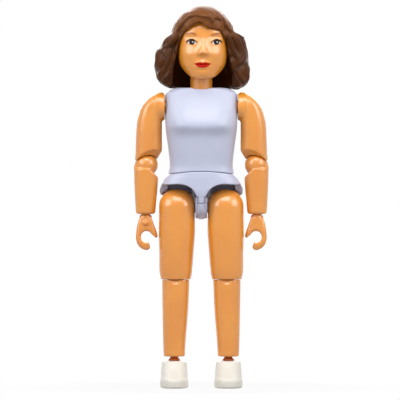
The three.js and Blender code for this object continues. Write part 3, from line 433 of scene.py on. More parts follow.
def strand(points: Sequence[Point], radii: Sequence[float]) -> Form:
    """Tapering lock that follows a rounded line.

    Args:
        points: Points of its middle line.
        radii: Radius at each point.

    Returns:
        The solid.
    """
    line = curve_through([(*point, radius) for point, radius in zip(points, radii)], 4)

    def distance(x: Array, y: Array, z: Array) -> Array:
        """Signed distance from the lock.

        Args:
            x: Places sideways.
            y: Places front to back.
            z: Places upwards.

        Returns:
            The distance of each place.
        """
        best = np.inf
        for a, b in zip(line, line[1:]):
            d = b - a
            u, v, w = x - a[0], y - a[1], z - a[2]
            t = np.clip((u * d[0] + v * d[1] + w * d[2]) / max(float(d[:3] @ d[:3]), 1e-9), 0, 1)
            gap = np.sqrt((u - t * d[0]) ** 2 + (v - t * d[1]) ** 2 + (w - t * d[2]) ** 2)
            best = np.minimum(best, gap - (a[3] + t * d[3]))
        return best

    return Form(distance)


@dataclass(frozen=True)
class Swell:
    """A soft rise or dip in the front of a piece.

    Attributes:
        amount: Height, below zero for a dip.
        x: Place, sideways.
        z: Place, upwards.
        across: Spread sideways.
        above: Spread upwards.
        below: Spread downwards, the upward one if not given.
    """

    amount: float
    x: float
    z: float
    across: float
    above: float
    below: float | None = None

    def height(self, x: Array, z: Array) -> Array:
        """Height of the rise over the points (x, z)."""
        up = (z - self.z) / np.where(z > self.z, self.above, self.below or self.above)
        return self.amount * np.exp(-(((x - self.x) / self.across) ** 2) - up * up)


def twin(amount: float, left: float, right: float, *spread: float) -> tuple[Swell, Swell]:
    """Two like swells, each at an x of its own."""
    return Swell(amount, left, *spread), Swell(amount, right, *spread)


def swells(items: Sequence[Swell]) -> Callable[[Array, Array], Array]:
    """One relief out of several soft rises."""
    return lambda x, z: sum(item.height(x, z) for item in items)


class Sheet:
    """Node sheet of a material or of the world."""

    def __init__(self, owner: bpy.types.Material | bpy.types.World) -> None:
        """Starts an empty sheet.

        Args:
            owner: Material or world that the sheet is for.
        """
        owner.use_nodes = True
        self.owner, self.tree = owner, owner.node_tree
        self.tree.nodes.clear()

    @classmethod
    def of_material(cls, name: str) -> Sheet:
        """Empty sheet of a new material."""
        return cls(bpy.data.materials.new(name))

    def node(self, kind: str, settings: dict[str, Any] | None = None,
             sockets: Sockets | None = None) -> bpy.types.Node:
        """Adds one node.

        Args:
            kind: Blender's type name of the node.
            settings: Properties, which are set first.
            sockets: Values or wires by socket name or number.

        Returns:
            The new node.
        """
        made = self.tree.nodes.new(kind)
        for key, value in (settings or {}).items():
            setattr(made, key, value)
        for key, value in (sockets or {}).items():
            if isinstance(value, Wire):
                self.tree.links.new(value.socket, made.inputs[key])
            else:
                made.inputs[key].default_value = value
        return made

    def wire(self, kind: str, settings: dict[str, Any] | None = None,
             sockets: Sockets | None = None, output: str | int = 0) -> Wire:
        """Adds one node, as node does, and hands out the named or numbered one of its outputs."""
        return Wire(self, self.node(kind, settings, sockets).outputs[output])

    def spot(self) -> Wire:
        """Where a point is on the figure at rest, in metres."""
        return self.wire("ShaderNodeTexCoord", output="Object")

    def place(self) -> tuple[Wire, Wire, Wire]:
        """Where a point is on the figure at rest, in millimetres, as three wires."""
        parts = self.node("ShaderNodeSeparateXYZ", sockets={0: self.spot()})
        return tuple(Wire(self, parts.outputs[i]) * (1 / MM) for i in range(3))

    def noise(self, grains: float, detail: float) -> Wire:
        """Cloudy noise about 0.5, with some clouds to the millimetre and some octaves of detail."""
        sockets = {"Vector": self.spot(), "Scale": grains / MM, "Detail": detail}
        return self.wire("ShaderNodeTexNoise", sockets=sockets)

    def mixed(self, share: Wire, under: Colour | Wire, over: Colour | Wire) -> Wire:
        """A colour with a share of another one over it."""
        return self.wire("ShaderNodeMix", {"data_type": "RGBA"}, {0: share, 6: under, 7: over}, output=2)

    def bump(self, height: Wire, depth: float) -> Wire:
        """Normal over a fine relief, whose height of 1 is the given depth."""
        sockets = {"Strength": 1.0, "Distance": depth * MM, "Height": height}
        return self.wire("ShaderNodeBump", sockets=sockets)

    def seen(self) -> Wire:
        """1 for a ray that the camera sees, straight, off a gloss or through something clear, else 0."""
        outputs, kinds = self.node("ShaderNodeLightPath").outputs, ("Camera", "Glossy", "Transmission")
        return reduce(Wire.most, [Wire(self, outputs[f"Is {kind} Ray"]) for kind in kinds])

    def close(self, shader: Wire) -> bpy.types.Material | bpy.types.World:
        """Takes a finished shader to the output and hands out the sheet's owner."""
        self.node(f"ShaderNodeOutput{self.owner.bl_rna.identifier}", sockets={"Surface": shader})
        return self.owner


def operator(operation: str, swapped: bool = False) -> Callable[[Wire, Wire | float], Wire]:
    """Method that adds an operation's Math node, with its values swapped for a reflected form."""
    return lambda wire, other: wire.math(operation, *((other, wire) if swapped else (wire, other)))


class Wire:
    """One value on a sheet. Sums of wires and numbers add Math nodes."""

    def __init__(self, sheet: Sheet, socket: bpy.types.NodeSocket) -> None:
        """Wraps an output socket of a sheet."""
        self.sheet, self.socket = sheet, socket

    def math(self, operation: str, *values: Wire | float) -> Wire:
        """Math node of an operation over the given values."""
        return self.sheet.wire("ShaderNodeMath", {"operation": operation}, dict(enumerate(values)))

    __add__, __radd__ = operator("ADD"), operator("ADD", swapped=True)
    __sub__, __rsub__ = operator("SUBTRACT"), operator("SUBTRACT", swapped=True)
    __mul__, __rmul__ = operator("MULTIPLY"), operator("MULTIPLY", swapped=True)
    __truediv__, __rtruediv__ = operator("DIVIDE"), operator("DIVIDE", swapped=True)
    most = operator("MAXIMUM")

    def __abs__(self) -> Wire:
        """Size without sign."""
        return self.math("ABSOLUTE", self)

    def root(self) -> Wire:
        """Square root."""
        return self.math("SQRT", self)

    def step(self, start: float, end: float) -> Wire:
        """Soft ramp from 0 to 1 between two rising values."""
        settings = {"interpolation_type": "SMOOTHSTEP"}
        return self.sheet.wire("ShaderNodeMapRange", settings, {0: self, 1: start, 2: end})

    def inside(self, soft: float = 0.05) -> Wire:
        """Mask of the places where this distance is below zero."""
        return 1 - self.step(-soft, soft)


def display(*channels: float) -> Colour:
    """Scene colour of a display colour whose red, green and blue run from 0 to 255."""
    shares = [channel / 255 for channel in channels]
    return (*(s / 12.92 if s <= 0.04045 else ((s + 0.055) / 1.055) ** 2.4 for s in shares), 1.0)


@dataclass(frozen=True)
class Finish:
    """A finished material and the slot of the record that it belongs to."""

    material: bpy.types.Material
    slot: Slot


@dataclass(frozen=True)
class Plastic:
    """A moulded plastic.

    Attributes:
        slot: Slot that it belongs to.
        name: Name of the material.
        colour: Main colour.
        flow: Colour of the slow streaks that the melt leaves.
        roughness: Mean roughness.
        grain: Depth of the mould's fine grain.
        gloss: Specular level.
        wax: Share of light that passes under the skin.
        streaks: Streaks of the melt to the millimetre.
        streak_edge: Levels of the noise between which a streak comes in.
        marks: How far handling marks change the roughness.
    """

    slot: Slot
    name: str
    colour: Colour
    flow: Colour
    roughness: float
    grain: float = 0.004
    gloss: float = 0.45
    wax: float = 0.0
    streaks: float = 0.09
    streak_edge: Flat = (0.38, 0.68)
    marks: float = 0.06

    def tint(self, sheet: Sheet) -> Wire:
        """Colour over the piece, with the streaks of the melt."""
        streaks = sheet.noise(self.streaks, 3.0).step(*self.streak_edge)
        return sheet.mixed(streaks, self.colour, self.flow)

    def gloss_map(self, sheet: Sheet) -> Wire:
        """Roughness over the piece, with faint handling marks."""
        return (sheet.noise(0.22, 4.0) - 0.5) * self.marks + self.roughness

    def relief(self, sheet: Sheet) -> Wire:
        """Normal over the piece, with the mould's fine grain and a slight waviness."""
        return sheet.bump(sheet.noise(2.6, 2.0) * 0.7 + sheet.noise(0.4, 1.0) * 0.3, self.grain)

    def polish(self, sheet: Sheet) -> Wire | float:
        """Clear shine over the piece, none on plain plastic."""
        return 0.0

    def shader(self, sheet: Sheet, colour: Wire) -> Wire:
        """Adds this plastic's shader.

        Args:
            sheet: Sheet that the colour is on.
            colour: Base colour over the piece.

        Returns:
            The shader.
        """
        return sheet.wire("ShaderNodeBsdfPrincipled", sockets={
            "Base Color": colour, "Roughness": self.gloss_map(sheet), "Normal": self.relief(sheet),
            "Specular IOR Level": self.gloss, "Subsurface Weight": self.wax,
            "Subsurface Radius": (1.0, 0.35, 0.15), "Subsurface Scale": 0.8 * MM,
            "Coat Weight": self.polish(sheet), "Coat Roughness": 0.16,
        })

    def finish(self) -> Finish:
        """Builds the material."""
        sheet = Sheet.of_material(self.name)
        return Finish(sheet.close(self.shader(sheet, self.tint(sheet))), self.slot)


class Printing:
    """A face on which colours are laid one after the other."""

    def __init__(self, plastic: Plastic) -> None:
        """Starts with the bare plastic.

        Args:
            plastic: The plastic.
        """
        self.sheet = Sheet.of_material("printed_face")
        self.x, self.y, self.z = self.sheet.place()
        self.bare = self.colour = plastic.tint(self.sheet)
        self.inked: list[Wire] = []

    def lay(self, mask: Wire, colour: Colour) -> None:
        """Lays a colour over the mask's places."""
        self.colour = self.sheet.mixed(mask, self.colour, colour)


@dataclass(frozen=True)
class EyePrint:
    """Printed eye.

    Attributes:
        x: Middle, sideways.
        z: Level of the corners.
        half: Half width.
        rise: Corners up to the upper lid.
        fall: Corners down to the lower lid.
        iris: Middle of the iris, sideways.
        outer: Side that the outer corner is on, -1 or 1.
    """

    x: float
    z: float
    half: float
    rise: float
    fall: float
    iris: float
    outer: int


@dataclass(frozen=True)
class FacePrint:
    """Flesh plastic with printed eyes, brows and lips.

    Attributes:
        flesh: The plastic underneath.
        eyes: The two eyes.
        brows: End, top and inner end of each brow as (x, z) points.
        glint: Where the painted highlight on the iris sits, from the middle of the iris, in (x, z).
        glint_square: Square of the painted highlight's radius.
        lash_thick: Half thickness of the lashes at the inner corner, and what is added outwards.
        brow_thick: Half thickness of a brow at its outer end, and what is added inwards.
        lips: Left corner, middle and right corner of the mouth as (x, z) points.
        back_edge: How far back the print goes, as a y.
    """

    flesh: Plastic
    eyes: tuple[EyePrint, EyePrint] = (
        EyePrint(-2.66, 98.1, 1.5, 0.8, 0.66, -2.66, -1),
        EyePrint(4.25, 98.1, 1.46, 0.76, 0.66, 4.3, 1),
    )
    iris_radius: float = 0.78
    iris_lift: float = 0.06
    # painted highlight on the iris: its place and the square of its radius
    glint: Flat = (0.2, 0.05)
    glint_square: float = 0.035
    # painted shade: how far the eye's white is darkened under the upper lid
    lid_shade: float = 0.55
    lash_thick: Flat = (0.17, 0.12)
    brow_thick: Flat = (0.2, 0.14)
    tilt: float = 0.13
    brows: tuple[tuple[Flat, Flat, Flat], ...] = (
        ((-4.45, 100.5), (-3.2, 100.82), (-1.4, 100.15)),
        ((5.7, 100.7), (4.25, 100.5), (2.85, 100.15)),
    )
    lips: tuple[Flat, Flat, Flat] = ((-1.95, 92.08), (0.38, 91.78), (2.7, 92.08))
    lip_rise: float = 0.74
    lip_fall: float = 0.86
    lip_bow: float = 0.28
    back_edge: float = -2.0
    ink_roughness: float = 0.5
    ink_gloss: float = 0.12
    white: Colour = display(230, 210, 200)
    iris: Colour = display(12, 10, 10)
    lash: Colour = display(44, 20, 8)
    brow: Colour = display(174, 94, 16)
    lip: Colour = display(190, 24, 6)
    lip_dark: Colour = display(118, 10, 10)

    def print_eye(self, face: Printing, eye: EyePrint) -> None:
        """Prints the white, iris, painted shade under the upper lid, painted glint (a painted highlight),
        lashes and lower rim of an eye.

        Args:
            face: Face to print on.
            eye: The eye.
        """
        u = (face.x - eye.x) / eye.half
        arch = 1 - u * u
        up = face.z - eye.z - u * (self.tilt * eye.outer)
        over, under = up - arch * eye.rise, -1 * up - arch * eye.fall
        opening = over.most(under)
        inked = opening.inside()
        face.lay(inked, self.white)
        dx, dz = face.x - eye.iris, face.z - (eye.z + self.iris_lift)
        radius = (dx * dx + dz * dz).root()
        face.lay((radius - self.iris_radius).most(opening).inside(), self.iris)
        # painted shade: the white darkens towards the upper lid, as if the lid shaded it
        face.lay(inked * over.step(-0.9, 0.1) * self.lid_shade, self.lash)
        # painted highlight: a white glint laid on the iris where a reflection would fall
        gx, gz = dx - self.glint[0], dz - self.glint[1]
        face.lay((gx * gx + gz * gz - self.glint_square).inside(0.03), self.white)
        reach = (abs(u - 0.06 * eye.outer) - 1.08) * eye.half
        thin, more = self.lash_thick
        thick = (u * eye.outer).step(-1.2, 1.1) * more + thin
        lashes = (abs(over - 0.06) - thick).most(reach).inside(0.06)
        face.lay(lashes, self.lash)
        face.lay((abs(under - 0.02) - 0.035).most(reach).inside(0.06) * 0.35, self.brow)
        face.inked.append(inked.most(lashes))

    def print_brow(self, face: Printing, brow: tuple[Flat, Flat, Flat]) -> None:
        """Prints one brow.

        Args:
            face: Face to print on.
            brow: Its outer end, top and inner end.
        """
        (x0, z0), (x1, z1), (x2, z2) = brow
        first, second = (z1 - z0) / (x1 - x0), (z2 - z1) / (x2 - x1)
        bend = (second - first) / (x2 - x0)
        along = face.x - x0
        line = along * first + along * (face.x - x1) * bend + z0
        thin, more = self.brow_thick
        thick = (along / (x2 - x0)).step(-0.1, 0.6) * more + thin
        past = abs(face.x - (x0 + x2) / 2) - abs(x2 - x0) / 2
        face.lay((abs(face.z - line) - thick).most(past).inside(0.1) * 0.92, self.brow)

    def print_lips(self, face: Printing) -> None:
        """Prints the lips and the line between them.

        Args:
            face: Face to print on.
        """
        (x0, z0), (x1, z1), (x2, _) = self.lips
        half = (x2 - x0) / 2
        away = abs((face.x - x1) / half)
        arch = 1 - away * away
        up = face.z - (away * away * (z0 - z1) + z1)
        bow = 1 - self.lip_bow * (1 - away.step(0.0, 0.3))
        upper = up - arch * bow * self.lip_rise
        lower = -1 * up - (1 - away * away * away) * self.lip_fall
        inked = upper.most(lower).most((away - 1) * half).inside(0.08)
        face.lay(inked, self.lip)
        face.lay((abs(up) - 0.05).most((away - 1.02) * half).inside(0.08) * 0.85, self.lip_dark)
        face.inked.append(inked)

    def finish(self) -> Finish:
        """Builds the face's material: glossy plastic, with matt ink on its front only.

        Returns:
            The finish.
        """
        face = Printing(self.flesh)
        for brow in self.brows:
            self.print_brow(face, brow)
        self.print_lips(face)
        for eye in self.eyes:
            self.print_eye(face, eye)
        sheet, front = face.sheet, (face.y - self.back_edge).inside(0.4)
        plastic = self.flesh.shader(sheet, sheet.mixed(front, face.bare, face.colour))
        matt = sheet.wire("ShaderNodeBsdfPrincipled", sockets={
            "Base Color": face.colour, "Roughness": self.ink_roughness, "Specular IOR Level": self.ink_gloss,
        })
        ink = front * reduce(Wire.most, face.inked)
        shader = sheet.wire("ShaderNodeMixShader", sockets={0: ink, 1: plastic, 2: matt})
        return Finish(sheet.close(shader), self.flesh.slot)


@dataclass(frozen=True)
class HairPlastic(Plastic):
    """Brown hair plastic with painted light that makes the crown paler, painted shade in the valleys, and
    polished ridges along its strands.
    """

    # painted shade: dark colour laid in the hollows of the moulding
    valley: Colour = display(32, 13, 5)
    # painted light: paler colour on the crown, as if lit from above
    crown: Colour = display(124, 74, 36)
    crown_levels: Flat = (98.0, 103.0)
    hollows: Flat = (0.42, 0.5)
    ridges: Flat = (0.51, 0.58)

    def bulge(self, sheet: Sheet) -> Wire:
        """How far the moulding stands out, about 0.5 where it is flat."""
        return sheet.wire("ShaderNodeNewGeometry", output="Pointiness")

    def polish(self, sheet: Sheet) -> Wire:
        """Shine where the moulding stands out, from handling."""
        return self.bulge(sheet).step(*self.ridges)

    def faded(self, sheet: Sheet) -> Wire:
        """Streaks, with painted light that makes the crown paler."""
        # painted light: comes in between the crown levels, towards the top
        high = sheet.place()[2].step(*self.crown_levels)
        return sheet.mixed(high * 0.8, super().tint(sheet), self.crown)

    def tint(self, sheet: Sheet) -> Wire:
        """Colour over the hair, with painted shade where the moulding is hollow."""
        # painted shade where the moulding is hollow, standing in for the shade that falls there
        hollow = 1 - self.bulge(sheet).step(*self.hollows)
        return sheet.mixed(hollow * 0.6, self.faded(sheet), self.valley)


class Finishes:
    """Finishes of the figure."""

    def __init__(self) -> None:
        """Builds every finish once."""
        flesh = Plastic(Slot.FLESH, "flesh_plastic", display(222, 143, 45), display(217, 136, 42), 0.24,
                        gloss=1.0, wax=0.1)
        self.flesh = flesh.finish()
        # painted shade: the ankle posts get a darker copy of the flesh, standing in for the shade round the
        # ankle neck
        self.ankle = Plastic(Slot.FLESH, "ankle_plastic", display(200, 108, 50), display(192, 100, 46),
                             0.34).finish()
        self.face = FacePrint(flesh).finish()
        self.lavender = Plastic(Slot.LAVENDER, "lavender_plastic", display(186, 190, 210),
                                display(182, 186, 207), 0.36, wax=0.06).finish()
        self.hair = HairPlastic(Slot.HAIR, "hair_plastic", display(78, 39, 6), display(67, 33, 4), 0.3,
                                grain=0.006, gloss=0.12).finish()
        self.shoe = Plastic(Slot.SHOE, "shoe_plastic", display(216, 212, 203), display(212, 208, 198), 0.36,
                            gloss=0.4).finish()
        self.pin = Plastic(Slot.PIN, "pin_plastic", display(184, 184, 186), display(176, 176, 179),
                           0.4).finish()


def put(name: str, data: bpy.types.ID) -> bpy.types.Object:
    """Puts a new object into the scene.

    Args:
        name: Its name.
        data: Its mesh, lamp or camera.

    Returns:
        The object.
    """
    made = bpy.data.objects.new(name, data)
    bpy.context.scene.collection.objects.link(made)
    return made


def put_mesh(name: str, points: list, faces: list, material: bpy.types.Material) -> bpy.types.Object:
    """Puts a new mesh object into the scene.

    Args:
        name: Its name.
        points: Points in metres.
        faces: Corners of each face.
        material: Its material.

    Returns:
        The object.
    """
    mesh = bpy.data.meshes.new(name)
    mesh.from_pydata(points, [], faces)
    mesh.materials.append(material)
    return put(name, mesh)


class Bench:
    """Looks up the frame and puts finished pieces into the scene."""

    def __init__(self) -> None:
        """Loads the frame and remembers the solids' box."""
        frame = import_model()
        self.solid_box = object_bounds()
        self.finishes = Finishes()
        behaviour = frame["record"]["behaviour"]
        self.joints = {joint["name"]: joint["pos_m"] for joint in behaviour["joints"]}
        self.bodies = {node: body for body, nodes in behaviour["bodies"].items() for node in nodes}

    def middles(self, *joints: str) -> list[Point]:
        """Middles of some joints."""
        return [tuple(value / MM for value in self.joints[joint]) for joint in joints]

    def skin(self, form: Form, node: str, pitch: float) -> tuple[Array, Array]:
        """Meshes a form inside a node's box.

        Args:
            form: The solid.
            node: Node whose box, and a little more, holds the solid.
            pitch: Size of a face.

        Returns:
            Points and four-cornered faces.
        """
        pitch *= 1.0
        low, high = (np.array(corner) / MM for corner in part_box(node))
        start = low - MARGIN
        axes = [np.arange(a, b + MARGIN, pitch) for a, b in zip(start, high)]
        shape = tuple(len(axis) for axis in axes)
        depth = np.array(np.broadcast_to(form.distance(*np.ix_(*axes)), shape), dtype=float)
        steep = np.sqrt(sum(part * part for part in np.gradient(depth, pitch)))
        depth = np.clip(depth / np.maximum(steep, 0.3), -SKIN * pitch, SKIN * pitch)
        grid = openvdb.FloatGrid(SKIN * pitch)
        grid.copyFromArray(depth.astype(np.float32))
        points, faces = grid.convertToQuads(0.0)
        return points * pitch + start, faces[:, ::-1]

    def place(self, node: str, points: Array, faces: Array, finish: Finish) -> None:
        """Makes the object that stands for a node.

        Args:
            node: Node that the piece replaces.
            points: Points of the mesh.
            faces: Faces of the mesh.
            finish: Its finish.
        """
        piece = put_mesh(f"{node}_shell", (points * MM).tolist(), faces.tolist(), finish.material)
        piece.data.shade_smooth()
        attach(piece, self.bodies[node])
        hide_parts(node)
        LOG.info("%s: %d faces", node, len(faces))

    def add(self, form: Form, node: str, finish: Finish, pitch: float) -> None:
        """Skins a form with faces of a given size and places it for a node."""
        self.place(node, *self.skin(form, node, pitch), finish)

    def add_pair(self, form: Form, stem: str, finish: Finish, pitch: float,
                 other: Other = Other.MIRROR) -> None:
        """Skins the left piece of a pair and places both.

        Args:
            form: The left solid.
            stem: Name of the two nodes without the side.
            finish: Their finish.
            pitch: Size of a face.
            other: How the right piece comes from the left one.
        """
        points, faces = self.skin(form, f"{stem}_left", pitch)
        self.place(f"{stem}_left", points, faces, finish)
        across, along = other.value
        turned = points * np.array([across, along, 1.0])
        self.place(f"{stem}_right", turned, faces[:, ::-1] if across * along < 0 else faces, finish)

    def dress(self, node: str, finish: Finish) -> None:
        """Gives a node that isn't replaced its finish.

        Args:
            node: The node.
            finish: Its finish.
        """
        materials = bpy.data.objects[node].data.materials
        materials.clear()
        materials.append(finish.material)
        LOG.info("%s: dressed", node)


@dataclass
class Leg:
    """Thigh, knee pin, shin and ankle post, drawn for the left leg."""

    bench: Bench
    thigh_half: float = 5.2
    thigh_depth: float = 5.2
    thigh_power: float = 2.3
    thigh_middle: float = 4.87
    inner_face: float = 1.92
    inner_slope: float = 0.03
    knee_half: float = 4.2
    knee_depth: float = 4.05
    knee_rim: float = 2.8
    tongue: float = 4.4
    pin: float = 0.8
    gap: float = 0.3
    play: float = 0.12
    shin_half: float = 3.93
    shin_depth: float = 3.8
    calf_half: float = 3.72
    calf_back: float = 4.1
    end_half: float = 3.03
    end_depth: float = 2.95
    end_edge: float = 0.45
    knee_line: float = 0.1
    shin_bottom: float = 8.85
    scoop: Point = (1.6, 0.6, 1.2)
    ankle_ball: float = 2.0
    ankle_tilt: float = 18.0
    ankle_neck: float = 1.15
    ankle_flare: float = 1.75
    ankle_peg: float = 1.5
    peg_bottom: float = 3.3
    shoe_top: float = 7.6
    axle: float = 1.5

    def __post_init__(self) -> None:
        """Finds its joints."""
        joints = ("hip_swing_left", "knee_bend_left", "ankle_tilt_left")
        self.hip, self.knee, self.ankle = self.bench.middles(*joints)

    def dome(self, play: float = 0.0) -> Form:
        """Rounded top of the thigh about the hip axis, grown by some play."""
        (x0, _, z0), half, depth = self.hip, self.thigh_half + play, self.thigh_depth + play
        return Form(lambda x, y, z: oval_distance(x - x0, np.hypot(y, z - z0), half, depth, self.thigh_power))

    def thigh(self) -> Form:
        """Domed thigh with a forked skirt over the knee.

        Returns:
            The solid.
        """
        (hx, _, hz), (kx, _, kz) = self.hip, self.knee
        length, out, rim, half = hz - kz, kx - hx, self.knee_rim, self.tongue / 2 + self.gap
        leg = loft([
            Section(kz - rim, self.knee_half, self.knee_depth, x=kx),
            Section(kz - 0.2 * rim, 0.55 * self.knee_half + 0.45 * self.thigh_half,
                    0.65 * self.knee_depth + 0.35 * self.thigh_depth, x=kx),
            Section(hz - 0.75 * length, self.thigh_middle, 0.3 * self.knee_depth + 0.7 * self.thigh_depth,
                    x=hx + 0.6 * out),
            Section(hz - 0.3 * length, self.thigh_half, self.thigh_depth, x=hx + 0.15 * out,
                    power=self.thigh_power),
            Section(hz, self.thigh_half, self.thigh_depth, x=hx, power=self.thigh_power),
        ], CRISP)
        quarter = [(rim * math.sin(a), rim * math.cos(a)) for a in np.linspace(0, math.pi / 2, 9)]
        over, under = [(-y, kz + z) for y, z in quarter], [(y, kz - z) for y, z in quarter]
        slot = prism(Axis.X, [*over, (-rim, -FAR), (FAR, -FAR), (FAR, kz + rim)], kx - half, kx + half)
        rise = kz + self.shin_depth + self.gap
        back = [(rim, rise), (FAR, rise + FAR - rim), (FAR, -FAR), (0, -FAR)]
        notch = prism(Axis.X, [*under, *back], -FAR, FAR)
        hole = cross_bar(0, kx + self.knee_half - 0.8, kz, self.pin + self.play)
        bore = cross_bar(0, hx + 0.2, hz, self.axle + self.play)
        inner = half_space((self.inner_face, 0, hz), (1, 0, -self.inner_slope))
        cuts = (slot, notch, hole, bore, inner)
        return reduce(lambda form, tool: form.cut(tool, CRISP), cuts, self.dome().join(leg, SHARP))

    def knee_pin(self) -> Form:
        """Hinge pin of the knee with a shallow dished end."""
        (x, _, z), half = self.knee, self.knee_half
        return cross_bar(x - half + 0.3, x + half - 0.9, z, self.pin) - ball((x - half - 0.05, 0, z), 0.6)

    def shin(self) -> Form:
        """Tapering shin with a hinge tongue above and the ankle's socket below.

        Returns:
            The solid.
        """
        (kx, _, kz), (ax, _, az) = self.knee, self.ankle
        low, top, out = self.shin_bottom, kz - self.knee_rim - self.gap, ax - kx
        body = loft([
            Section(low, self.end_half, self.end_depth, x=ax),
            Section(low + 2 * self.end_edge, self.end_half + 0.03, self.end_depth + 0.03, x=ax),
            Section(low + 0.6 * (kz - low), self.calf_half, 0.95 * self.shin_depth, self.calf_back,
                    x=kx + 0.25 * out),
            Section(kz - self.knee_rim + 1, self.shin_half, self.shin_depth, x=kx),
        ], self.end_edge)
        body = body.keep(half_space((0, 0, kz - self.knee_rim - self.knee_line), (0, 0, 1)), CRISP)
        radius = self.knee_rim - self.gap
        arc = [(radius * math.cos(a), kz + radius * math.sin(a)) for a in np.linspace(0, math.pi, 15)]
        tongue = prism(Axis.X, [*arc, (-radius, top - 1.5), (radius, top - 1.5)],
                       kx - self.tongue / 2, kx + self.tongue / 2)
        room, mouth = self.ankle_ball + self.gap, az - low + 1
        wide = mouth * math.tan(math.asin(self.ankle_neck / room) + math.radians(self.ankle_tilt))
        flare = lathe([(wide, az - mouth), (0.05, az)], ax)
        scoop = ball((kx, -self.shin_depth - 0.1, top + 0.1), 1.0, self.scoop)
        hole = cross_bar(kx - 5, kx + 5, kz, self.pin + self.play)
        return (body | tongue) - ball(self.ankle, room) - flare - scoop - hole

    def ankle_post(self) -> Form:
        """Peg in the shoe, a flared neck and a ball in the shin.

        Returns:
            The solid.
        """
        seat, neck = self.shoe_top + 0.12, self.ankle_neck
        post = lathe([
            (self.ankle_peg, self.peg_bottom), (self.ankle_peg, seat), (self.ankle_flare, seat),
            (self.ankle_flare, seat + 0.2), (neck, seat + 0.75), (neck, self.ankle[2]),
        ], self.ankle[0])
        return post.join(ball(self.ankle, self.ankle_ball), 0.3)

    def build(self) -> None:
        """Makes both legs."""
        finishes = self.bench.finishes
        self.bench.add_pair(self.thigh(), "thigh", finishes.flesh, pitch=0.25)
        self.bench.add_pair(self.knee_pin(), "knee_pin", finishes.pin, pitch=0.12)
        self.bench.add_pair(self.shin(), "shin", finishes.flesh, pitch=0.22)
        # the ankle posts take the darker copy of the flesh, painted shade
        self.bench.add_pair(self.ankle_post(), "ankle_post", finishes.ankle, pitch=0.14)


@dataclass
class Shoe:
    """Slip-on shoe with an upright toe band, drawn for the left foot."""

    bench: Bench
    half: float = 4.05
    top_half: float = 3.4
    toe: float = 10.2
    heel: float = 5.3
    band: float = 2.4
    band_proud: float = 0.16
    height: float = 7.6
    instep_toe: float = 3.3
    instep_heel: float = 4.1
    peg_hole: float = 1.62
    hole_bottom: float = 3.0
    mark_level: float = 5.95

    def form(self, middle: float) -> Form:
        """Band, sloping upper, its small front mark and the hole for the ankle's peg.

        Args:
            middle: Middle of the ankle, sideways.

        Returns:
            The solid.
        """
        half, toe, heel, band, proud = self.half, self.toe, self.heel, self.band, self.band_proud
        rise, slope, taper = self.height - band, toe - self.instep_toe, half - self.top_half
        foot = loft([
            Section(0, half - 0.05, toe - 0.05, heel - 0.05),
            Section(0.5 * band, half, toe, heel),
            Section(band, half - 0.03, toe - 0.05, heel - 0.03),
        ], 0.5, middle, 2.7)
        upper = loft([
            Section(0.4, half - proud, toe - proud, heel - proud, power=2.7),
            Section(band, half - proud, toe - 1.5 * proud, heel - proud, power=2.7),
            Section(band + 0.1 * rise, half - proud - 0.1 * taper, toe - proud - 0.13 * slope,
                    heel - proud - 0.05, power=2.6),
            Section(band + 0.5 * rise, half - 0.5 * taper, toe - 0.58 * slope, heel - 0.45, power=2.5),
            Section(self.height - 0.3, self.top_half + 0.05, self.instep_toe + 0.4, self.instep_heel + 0.4),
            Section(self.height, self.top_half, self.instep_toe, self.instep_heel),
        ], 0.5, middle)
        mark = ball((middle, -self.instep_toe - 2.1, self.mark_level), 0.3, (1.7, 1.0, 0.5))
        hole = upright(self.hole_bottom, self.height + 2, self.peg_hole, middle)
        return foot.join(upper, 0.12) - mark - hole

    def build(self) -> None:
        """Makes both shoes."""
        middle = self.bench.middles("ankle_turn_left")[0][0]
        self.bench.add_pair(self.form(middle), "shoe", self.bench.finishes.shoe, pitch=0.2)


